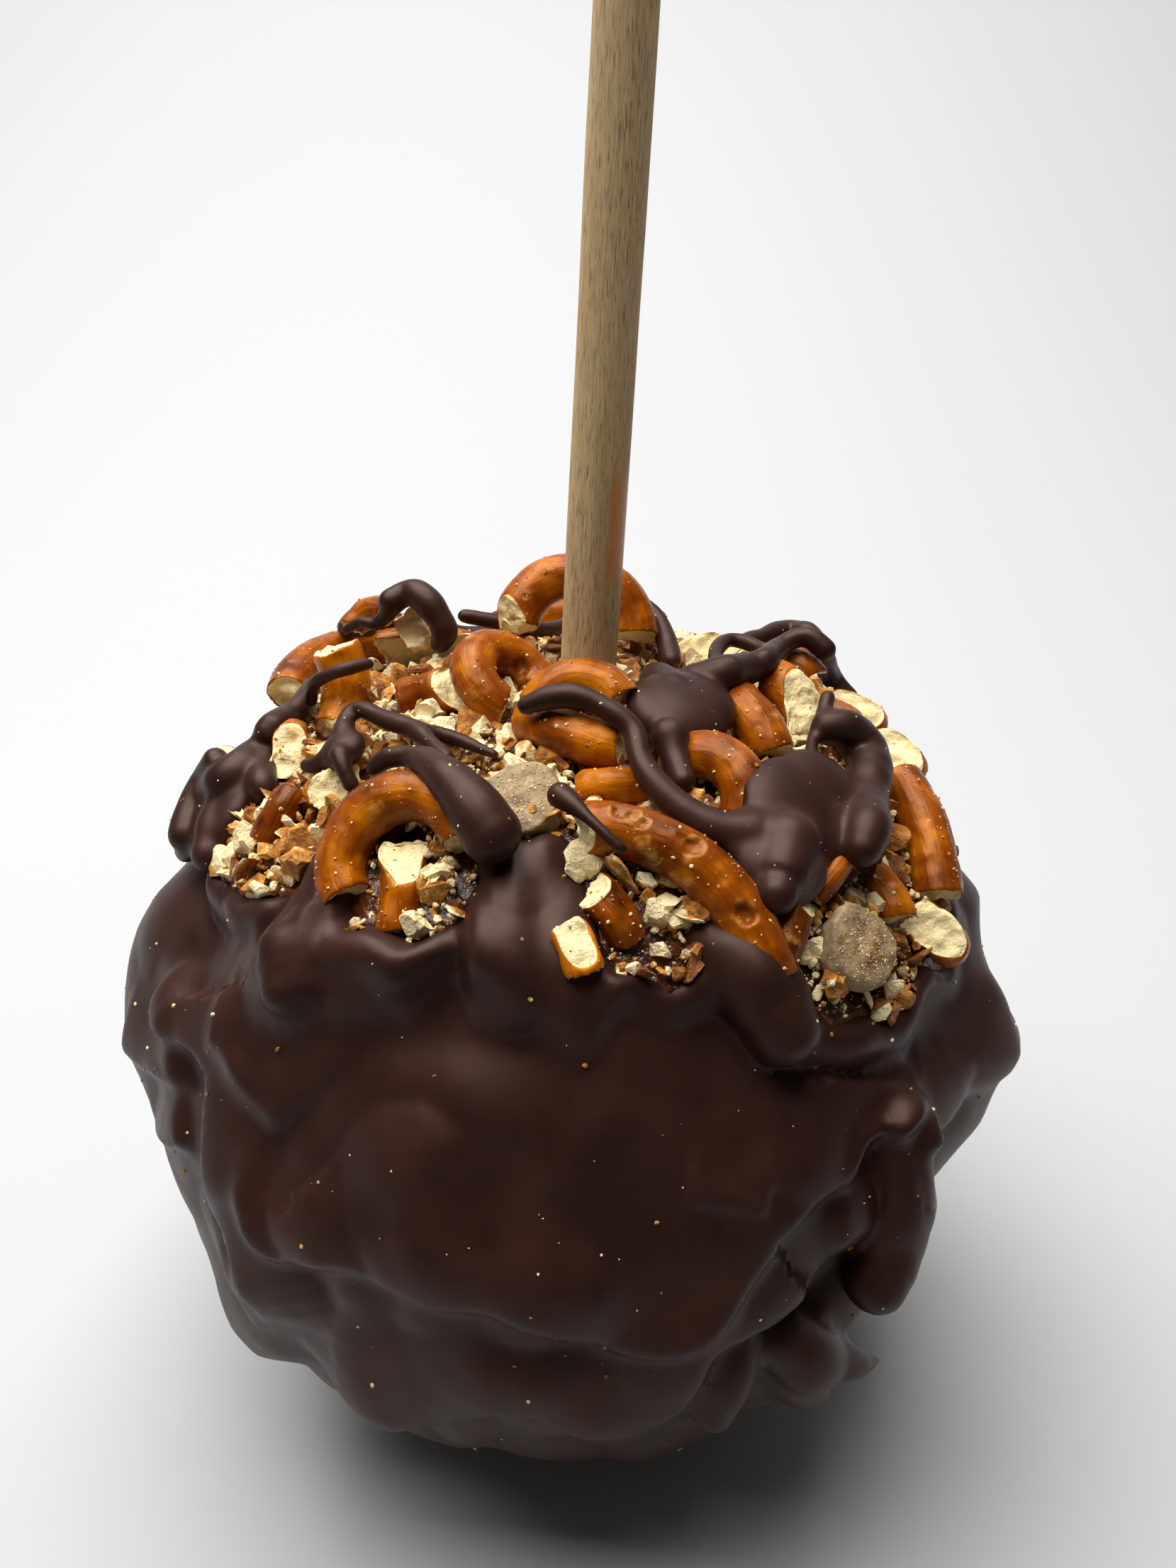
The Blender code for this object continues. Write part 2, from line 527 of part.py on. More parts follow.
def piece_line(piece):
    """Centre line of a pretzel piece."""
    points = arc_through(piece.start, piece.crown, piece.end, 9)
    length = sum((second - first).length for first, second in zip(points, points[1:]))
    return arc_through(piece.start, piece.crown, piece.end, min(max(round(length / STRAND_STEP), 3), 9))


def pretzel(piece, grow=0.0):
    """One broken pretzel piece, with blunt ragged ends."""
    line = piece_line(piece)
    thick = []
    for index in range(len(line)):
        at_end = index in (0, len(line) - 1)
        thick.append(piece.strand * (STRAND_END if at_end else 1.0))
    return tube(piece.name, line, thick, STRAND_SIDES, STRAND_CAP, piece.ragged, piece.name, grow)


def chocolate_chip(chip, grow=0.0):
    """A squat chocolate drop, flat below and domed above, leaning out of the pile."""
    place = Vector(chip.place)
    lean = (place - CENTRE).to_track_quat("Z", "Y").to_matrix()
    radius = chip.radius + grow
    points = [place + lean @ Vector((0.0, 0.0, CHIP_FOOT * radius))]
    for reach, rise in CHIP_PROFILE:
        for corner in range(CHIP_SIDES):
            turn = math.tau * corner / CHIP_SIDES
            points.append(place + lean @ Vector((reach * math.cos(turn), reach * math.sin(turn), rise)) * radius)
    points.append(place + lean @ Vector((0.0, 0.0, CHIP_TOP * radius)))
    top = len(points) - 1
    faces = []
    for corner in range(CHIP_SIDES):
        after = (corner + 1) % CHIP_SIDES
        faces.append((0, 1 + corner, 1 + after))
        for row in range(len(CHIP_PROFILE) - 1):
            low = 1 + row * CHIP_SIDES
            faces.append((low + corner, low + after, low + CHIP_SIDES + after, low + CHIP_SIDES + corner))
        faces.append((top, top - CHIP_SIDES + corner, top - CHIP_SIDES + after))
    return solid(chip.name, points, faces)


def lay_over(line, thick, pieces):
    """Push a rope's points outwards until they lie on the pretzel pieces below them."""
    laid = []
    for point, width in zip(line, thick):
        point = point.copy()
        for _ in range(60):
            inside = False
            for piece_points, strand in pieces:
                nearest = min((point - other).length for other in piece_points)
                if nearest < strand / 2.0 + width * ROPE_SINK:
                    inside = True
            if not inside:
                break
            point += OUTWARD * 0.1
        laid.append(point)
    return laid


def dense_lines():
    """Finely spaced centre lines of the pretzel pieces, with their thickness."""
    return [(arc_through(piece.start, piece.crown, piece.end, 25), piece.strand) for piece in PIECES]


def blob(name, middle, radius, thickness, grow=0.0):
    """A flattened drop of chocolate that lies on the dome of the pile."""
    place = Vector(middle)
    lean = (place - CENTRE).to_track_quat("Z", "Y").to_matrix().to_4x4()
    shape = bmesh.new()
    bmesh.ops.create_icosphere(shape, subdivisions=2, radius=1.0)
    size = Matrix.Diagonal((radius + grow, radius + grow, thickness / 2.0 + grow, 1.0))
    bmesh.ops.transform(shape, matrix=Matrix.Translation(place) @ lean @ size, verts=shape.verts)
    points = [vertex.co.copy() for vertex in shape.verts]
    faces = [tuple(vertex.index for vertex in face.verts) for face in shape.faces]
    shape.free()
    return solid(name, points, faces)


def drizzle(pour, pieces, grow=0.0):
    """One pour: its ropes and drops joined into one solid."""
    parts = []
    for number, rope in enumerate(pour.ropes):
        raw = [Vector(point[:3]) for point in rope.points]
        length = sum((second - first).length for first, second in zip(raw, raw[1:]))
        line, thick = curve_through(rope.points, max(round(length / ROPE_STEP), 4))
        line = lay_over(line, thick, pieces)
        parts.append(tube(f"{pour.name}_{number}", line, thick, ROPE_SIDES, ROPE_CAP, 0.0, number, grow))
    for number, (middle, radius, thickness) in enumerate(pour.blobs):
        parts.append(blob(f"{pour.name}_drop_{number}", middle, radius, thickness, grow))
    whole = parts[0]
    whole.name = pour.name
    combine(whole, parts[1:], "UNION")
    return whole


def stick(grow=0.0):
    """The wooden stick, leaning a little, with a small chamfer at both ends."""
    lean = math.radians(STICK_LEAN)
    along = Vector((math.sin(lean), 0.0, math.cos(lean)))
    foot = STICK_ENTRY - along * STICK_BURIED
    turn = along.to_track_quat("Z", "Y").to_matrix()
    radius = STICK_DIAMETER / 2.0 + grow
    stations = (
        (-grow, radius - STICK_CHAMFER), (STICK_CHAMFER - grow, radius),
        (STICK_LENGTH - STICK_CHAMFER + grow, radius), (STICK_LENGTH + grow, radius - STICK_CHAMFER),
    )
    points = []
    for rise, reach in stations:
        for corner in range(STICK_SIDES):
            angle = math.tau * corner / STICK_SIDES
            spoke = Vector((reach * math.cos(angle), reach * math.sin(angle), rise))
            points.append(foot + turn @ spoke)
    faces = [tuple(range(STICK_SIDES)), tuple(range(3 * STICK_SIDES, 4 * STICK_SIDES))]
    for row in range(3):
        for corner in range(STICK_SIDES):
            after = (corner + 1) % STICK_SIDES
            low = row * STICK_SIDES
            faces.append((low + corner, low + after, low + STICK_SIDES + after, low + STICK_SIDES + corner))
    return solid("stick", points, faces)


def grid_faces(rows, columns, flip=False):
    """Quads between rings of points, and triangles at a closing point when rows hold one point."""
    faces = []
    for first, second in zip(rows, rows[1:]):
        for column in range(columns):
            after = (column + 1) % columns
            if len(first) == 1:
                face = (first[0], second[column], second[after])
            elif len(second) == 1:
                face = (first[column], first[after], second[0])
            else:
                face = (first[column], first[after], second[after], second[column])
            faces.append(face[::-1] if flip else face)
    return faces


def coat():
    """The chocolate coat: a lumpy cup with a wavy rolled edge, smooth inside."""
    points = []
    rows = []
    for row in range(COAT_ROWS + COAT_INNER_ROWS + 1):
        outer = row <= COAT_ROWS
        share = row / COAT_ROWS if outer else 1.0 - (row - COAT_ROWS) / COAT_INNER_ROWS
        if outer:
            share = 1.0 - (1.0 - share) ** ROW_CROWDING
        ring = []
        columns = 1 if share < 1e-6 else COLUMNS
        for column in range(columns):
            azimuth = column * 360.0 / COLUMNS - 180.0
            rim = rim_latitude(azimuth)
            latitude = -90.0 + (rim + 90.0) * share
            ray = direction(azimuth, latitude)
            inside = core_radius(azimuth, latitude) + GAP + COAT_PLAY
            reach = inside
            floor = APPLE_FLOOR - GAP
            if outer:
                full = max(coat_radius(ray), inside + COAT_THINNEST)
                edge = math.radians(rim - latitude) * COAT_RADIUS
                roll = min(max(1.0 - edge / COAT_ROLL, 0.0), 1.0)
                share_left = COAT_EDGE_SHARE + (1.0 - COAT_EDGE_SHARE) * math.sqrt(1.0 - roll * roll)
                reach = inside + (full - inside) * share_left
                floor = 0.0
            place = CENTRE + ray * reach
            place.z = max(place.z, floor)
            ring.append(len(points))
            points.append(place)
        rows.append(ring)
    return solid("chocolate_coat", points, grid_faces(rows, COLUMNS))


def crumb(name, place, size, seed):
    """An angular crumb of broken pretzel."""
    draw = random.Random(seed)
    shape = bmesh.new()
    bmesh.ops.create_icosphere(shape, subdivisions=1, radius=size)
    points = []
    for vertex in shape.verts:
        stretch = Vector((draw.uniform(0.7, 1.2), draw.uniform(0.7, 1.2), draw.uniform(0.7, 1.1)))
        points.append(place + Vector((vertex.co.x * stretch.x, vertex.co.y * stretch.y, vertex.co.z * stretch.z)))
    faces = [tuple(vertex.index for vertex in face.verts) for face in shape.faces]
    shape.free()
    return solid(name, points, faces)


def crumbs(obstacles):
    """Crumbs spread evenly over the bed by a spiral rule, clear of the larger pieces."""
    draw = random.Random("crumbs")
    made = []
    golden = math.degrees(math.pi * (3.0 - math.sqrt(5.0)))
    lowest = math.sin(math.radians(CRUMB_LOWEST))
    for number in range(CRUMB_TRIES):
        latitude = math.degrees(math.asin(1.0 - (1.0 - lowest) * (number + 0.5) / CRUMB_TRIES))
        azimuth = (number * golden) % 360.0 - 180.0
        size = draw.uniform(*CRUMB_SIZE)
        if latitude < rim_latitude(azimuth) + math.degrees(size / BED_RADIUS) + 0.5:
            continue
        place = CENTRE + direction(azimuth, latitude) * (core_radius(azimuth, latitude) + CRUMB_LIFT * size)
        if any((place - point).length < 0.9 * size + reach + CRUMB_CLEAR for point, reach in obstacles):
            continue
        made.append(crumb(f"crumb_{number}", place, size, number))
        obstacles.append((place, size * 0.75))
    return made


def core(obstacles):
    """The apple under its caramel, with the crumb bed on top and crumbs stuck to it."""
    points = []
    rows = []
    for row in range(COAT_INNER_ROWS + BED_ROWS + 1):
        columns = 1 if row in (0, COAT_INNER_ROWS + BED_ROWS) else COLUMNS
        ring = []
        for column in range(columns):
            azimuth = column * 360.0 / COLUMNS - 180.0
            rim = rim_latitude(azimuth)
            latitude = -90.0 + (rim + 90.0) * row / COAT_INNER_ROWS
            if row > COAT_INNER_ROWS:
                latitude = rim + (90.0 - rim) * (row - COAT_INNER_ROWS) / BED_ROWS
            place = CENTRE + direction(azimuth, latitude) * core_radius(azimuth, latitude)
            place.z = max(place.z, APPLE_FLOOR)
            ring.append(len(points))
            points.append(place)
        rows.append(ring)
    made = solid("caramel_apple", points, grid_faces(rows, COLUMNS))
    combine(made, crumbs(obstacles), "UNION")
    return made


def box_of(thing):
    """Smallest and largest corner of an object's mesh."""
    points = [vertex.co for vertex in thing.data.vertices]
    low = Vector(min(point[axis] for point in points) for axis in range(3))
    high = Vector(max(point[axis] for point in points) for axis in range(3))
    return low, high


def near(first, second):
    """Whether the boxes of two objects overlap."""
    low_a, high_a = box_of(first)
    low_b, high_b = box_of(second)
    return all(low_a[axis] < high_b[axis] and low_b[axis] < high_a[axis] for axis in range(3))


def give_way(thing, makers):
    """Cut an object by slightly larger copies of the pieces that take precedence over it."""
    cutters = []
    for make in makers:
        cutter = make(GAP)
        if near(thing, cutter):
            cutters.append(cutter)
        else:
            remove(cutter)
    combine(thing, cutters, "DIFFERENCE")


def finish(thing, surface):
    """Give an object its material and smooth shading with sharp edges kept."""
    thing.data.materials.clear()
    thing.data.materials.append(surface)
    thing.data.shade_smooth()
    thing.data.set_sharp_from_angle(angle=math.radians(50.0))


def main():
    """Build every node, the earlier ones taking precedence where two would meet."""
    for thing in list(bpy.data.objects):
        bpy.data.objects.remove(thing)
    chocolate = material("dark_chocolate", CHOCOLATE)
    caramel = material("caramel", CARAMEL)
    baked = material("pretzel", PRETZEL)
    chip_surface = material("chocolate_chip", CHIP)
    wood = material("stick_wood", WOOD)

    finish(stick(), wood)
    makers = [stick]
    for piece in PIECES:
        made = pretzel(piece)
        give_way(made, makers)
        finish(made, baked)
        makers.append(lambda grow, piece=piece: pretzel(piece, grow))
    for chip in CHIPS:
        made = chocolate_chip(chip)
        give_way(made, makers)
        finish(made, chip_surface)
        makers.append(lambda grow, chip=chip: chocolate_chip(chip, grow))
    pieces = dense_lines()
    for pour in DRIZZLES:
        made = drizzle(pour, pieces)
        give_way(made, makers)
        finish(made, chocolate)
        makers.append(lambda grow, pour=pour: drizzle(pour, pieces, grow))

    shell = coat()
    give_way(shell, makers)
    finish(shell, chocolate)
    obstacles = [(point, strand / 2.0) for line, strand in pieces for point in line]
    obstacles += [(Vector(chip.place), chip.radius) for chip in CHIPS]
    apple = core(obstacles)
    give_way(apple, makers)
    finish(apple, caramel)


main()
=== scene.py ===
"""Looks of a caramel apple on a stick: dark coat, crumb bed, broken pretzels, chips and drizzle.

Lengths in the tables are millimetres, as in the part's source, and become metres on the meshes.
An azimuth runs from the front (-Y) towards +X, a latitude from the apple's middle upwards.
"""

import logging
import math
import random
from dataclasses import dataclass, field
from enum import Enum
from typing import Any, NamedTuple, Sequence

import bpy
import numpy as np
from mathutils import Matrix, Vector, noise
from mathutils.bvhtree import BVHTree


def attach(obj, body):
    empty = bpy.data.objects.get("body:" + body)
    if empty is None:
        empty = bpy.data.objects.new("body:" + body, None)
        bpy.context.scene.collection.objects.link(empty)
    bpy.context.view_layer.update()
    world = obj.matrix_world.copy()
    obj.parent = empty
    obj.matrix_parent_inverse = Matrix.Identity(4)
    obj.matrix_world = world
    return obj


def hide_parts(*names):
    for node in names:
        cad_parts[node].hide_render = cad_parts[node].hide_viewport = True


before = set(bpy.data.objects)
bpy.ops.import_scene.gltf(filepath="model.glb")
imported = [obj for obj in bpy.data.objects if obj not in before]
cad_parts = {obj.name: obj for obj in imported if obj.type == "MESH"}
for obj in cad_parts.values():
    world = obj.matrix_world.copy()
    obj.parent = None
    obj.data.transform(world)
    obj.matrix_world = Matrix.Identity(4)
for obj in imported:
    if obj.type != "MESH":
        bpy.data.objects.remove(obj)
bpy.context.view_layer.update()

LOG = logging.getLogger("caramel_apple")
MM = 0.001
BODY = "root"
SEED = 7

# The apple in its caramel, the crumb bed on it and the coat, as in the part's source
MIDDLE = np.array((0.0, 0.0, 43.0))
APPLE_RADIUS = 39.4
APPLE_FLOOR = 4.0
COAT_RADIUS = 44.4
BED_RADIUS = 46.6
BED_HEIGHT = 40.4
BED_POWER = 2.3
BED_LIMIT = 45.2
BED_BLEND = 9.0
BED_REACH = 3.0

# Toward the viewer and upwards, as seen from the photograph's 25 degrees above the level
OUTWARD = np.array((0.0, -0.9063, 0.4226))
UPWARD = np.array((0.0, 0.4226, 0.9063))


class Slot(Enum):
    """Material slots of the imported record."""

    STICK = "stick_wood"
    CARAMEL = "caramel"
    CHOCOLATE = "dark_chocolate"
    CHIP = "chocolate_chip"
    PRETZEL = "pretzel"


# Edge of the chocolate: latitude by azimuth, with its fingers and dips
RIM = (
    (-180, 40), (-162, 46), (-145, 38), (-128, 45), (-112, 38), (-98, 43), (-84, 43), (-74, 44),
    (-63, 39), (-54, 39), (-47, 41), (-43, 46), (-39, 50), (-35, 46), (-32, 41), (-26, 42),
    (-21, 41), (-16, 44), (-12, 50), (-8, 53), (-1, 53), (3, 48), (7, 40), (14, 39), (20, 40),
    (26, 37), (30, 33), (39, 30), (47, 28), (54, 31), (60, 28), (68, 33), (80, 36), (93, 41),
    (108, 37), (124, 44), (142, 38), (160, 45), (180, 40),
)


class Ridge(NamedTuple):
    """A swelling of the coat along a great-circle stretch; a negative height is a hollow."""

    start: tuple
    end: tuple
    height: float
    width: float


# Each ridge runs from one (azimuth, latitude) to another
RIDGES = (
    Ridge((-23, 31), (-9, 32), -0.9, 2.6),
    Ridge((-22, 21), (-11, 9), 0.6, 2.2),
    Ridge((-46, 30), (-28, 33), 0.8, 4.0),
    Ridge((-8, 48), (-2, 41), 1.4, 4.1),
    Ridge((-68, 34), (-63, 32), -1.4, 2.6),
    Ridge((7, 34), (7.5, 33), 0.9, 1.7),
    Ridge((4, 21), (5, 19), 0.7, 3.4),
    Ridge((70, 14), (76, 9), 1.4, 3.0),
    Ridge((34, 27), (38, 16), -1.3, 3.0),
    Ridge((60, 30), (66, 20), 1.3, 4.1),
    Ridge((35, -6), (29, -9), -4.4, 2.4),
    Ridge((118, 20), (122, -14), 2.4, 5.5),
    Ridge((150, 30), (140, 2), 2.2, 5.1),
    Ridge((172, 8), (166, -24), 2.0, 5.5),
    Ridge((-172, 26), (-158, 6), 2.2, 5.1),
    Ridge((-138, 14), (-130, -20), 2.5, 5.5),
    Ridge((-112, -16), (-118, -40), 3.0, 5.5),
    Ridge((136, -34), (120, -46), 3.5, 5.1),
    Ridge((-160, -40), (-176, -50), 3.0, 5.5),
)

# Radius of the coat where it turns out of sight, by clock angle from the right as the viewer sees it
OUTLINE = (
    (-45, 44.4), (-25, 45.4), (-20, 46.8), (-12, 45.6), (-5, 46.0), (0, 47.2), (5, 45.6), (10, 44.9),
    (15, 43.4), (20, 41.6), (25, 43.4), (30, 42.8), (35, 43.0), (40, 42.4), (46, 41.4), (52, 43.0),
    (60, 44.6), (65, 43.8), (75, 44.6), (80, 45.4), (90, 43.9), (100, 43.6), (105, 44.7), (115, 44.2),
    (125, 44.8), (130, 44.4), (135, 46.9), (140, 46.9), (145, 46.1), (150, 44.8), (155, 44.3), (170, 44.9),
    (175, 45.5), (180, 47.1), (190, 47.5), (195, 47.7), (200, 47.2), (205, 45.6), (220, 44.4),
)
OUTLINE_DEPTH = 0.29
OUTLINE_SPREAD = 0.17


class Fold(NamedTuple):
    """An edge where the coat lies over itself: it swells right of its line, with a sharp drop beyond."""

    points: tuple
    height: float
    soft: float
    sharp: float


# Each line is walked with the swelling on its right-hand side, through (azimuth, latitude) points
FOLDS = (
    Fold(((41, 27), (45, 22), (46, 18), (42, 16), (36, 16), (32, 13), (27, 11), (23, 8), (18, 3), (14, -1),
          (8, -2), (3, 0), (-3, 2), (-8, 4), (-14, 3), (-19, 4), (-25, 5), (-32, 3), (-36, 4), (-38, 8),
          (-38, 12), (-40, 15)), 1.5, 5.0, 1.1),
    Fold(((33, 0), (33, 7), (34, 12), (37, 15), (43, 15)), 1.0, 4.0, 0.9),
    Fold(((72, 8), (65, 9), (59, 11), (54, 10), (48, 11), (43, 13)), 1.3, 4.0, 0.9),
    Fold(((32, 0), (30, -3), (27, -4), (21, -4), (16, -5), (14, -10), (12, -14), (7, -17), (0, -15),
          (-6, -13), (-13, -17), (-21, -22), (-30, -24), (-38, -21)), 1.5, 4.5, 1.0),
    Fold(((-37, -14), (-38, -8), (-40, -4), (-42, 0), (-45, 3), (-45, 7), (-46, 13), (-48, 18), (-53, 20),
          (-61, 19), (-62, 24), (-59, 29)), 1.5, 5.0, 0.9),
    Fold(((-34, 17), (-37, 19), (-41, 21), (-45, 23), (-50, 23)), 0.9, 4.0, 1.1),
    Fold(((-53, 15), (-64, 11), (-73, 9)), 1.5, 3.5, 0.9),
    Fold(((-51, 8), (-60, 3), (-68, -1)), 1.2, 3.0, 0.9),
    Fold(((-40, -16), (-43, -11), (-48, -12)), 1.0, 3.0, 0.8),
    Fold(((-14, 39), (-24, 36), (-34, 34), (-38, 31), (-42, 33), (-47, 38)), 1.5, 4.5, 1.8),
    Fold(((6, 32), (1, 35), (-4, 38), (-9, 40), (-15, 40)), 1.5, 4.5, 1.9),
    Fold(((23, 12), (18, 14), (13, 15)), 0.5, 3.0, 0.6),
    Fold(((-20, 12), (-12, 6), (-2, 8), (8, 6)), 0.4, 4.0, 2.6),
    Fold(((12, 26), (2, 22), (-8, 24), (-18, 18)), 0.5, 5.0, 3.0),
)


class Lobe(NamedTuple):
    """A hanging roll of coat: (azimuth, latitude, height over the coat's radius, roll radius) points."""

    points: tuple


LOBES = (
    Lobe(((21, 43, -1.0, 3.0), (24, 39, 0.9, 3.7), (26, 35, 1.9, 3.8), (27.5, 30.5, 1.7, 3.2))),
    Lobe(((-38, 49, 0.2, 2.0), (-39.5, 44, 0.6, 2.8), (-38.5, 38, 0.6, 3.2), (-36, 33, 0.0, 3.0))),
    Lobe(((-11, 51, -0.8, 3.2), (-9, 48, -1.4, 4.4), (-8, 43, -2.0, 5.0), (-7, 38, -3.0, 5.0))),
    Lobe(((-3, 52, -1.0, 3.0), (-1, 47, -1.8, 4.2), (0, 42, -2.4, 4.6), (1, 38, -3.2, 4.6))),
    Lobe(((44, 14, -1.0, 3.4), (43.3, 8.5, 0.2, 3.4), (42.8, 3, 0.6, 3.4), (41.5, -2, 0.8, 3.3),
          (39.4, -6, 0.9, 3.0))),
    Lobe(((27, -11, -1.6, 3.2), (31.5, -15.7, 0.0, 3.3), (37.5, -20, 0.9, 2.3), (42, -22.5, 1.8, 1.3),
          (45.5, -24.2, 2.9, 0.45))),
    Lobe(((21.5, -9.4, -1.6, 2.4), (20.4, -13.8, -0.2, 2.5), (18.8, -19.4, 0.5, 2.3))),
    Lobe(((29, -18, -1.2, 2.6), (35, -26, 0.2, 2.6), (38, -30, 0.2, 2.2))),
)


class Strand(NamedTuple):
    """One broken pretzel piece: its arc, thickness, bake from golden 0 to brown 1, and breaks."""

    name: str
    start: tuple
    crown: tuple
    end: tuple
    strand: float
    bake: float
    breaks: tuple = ()


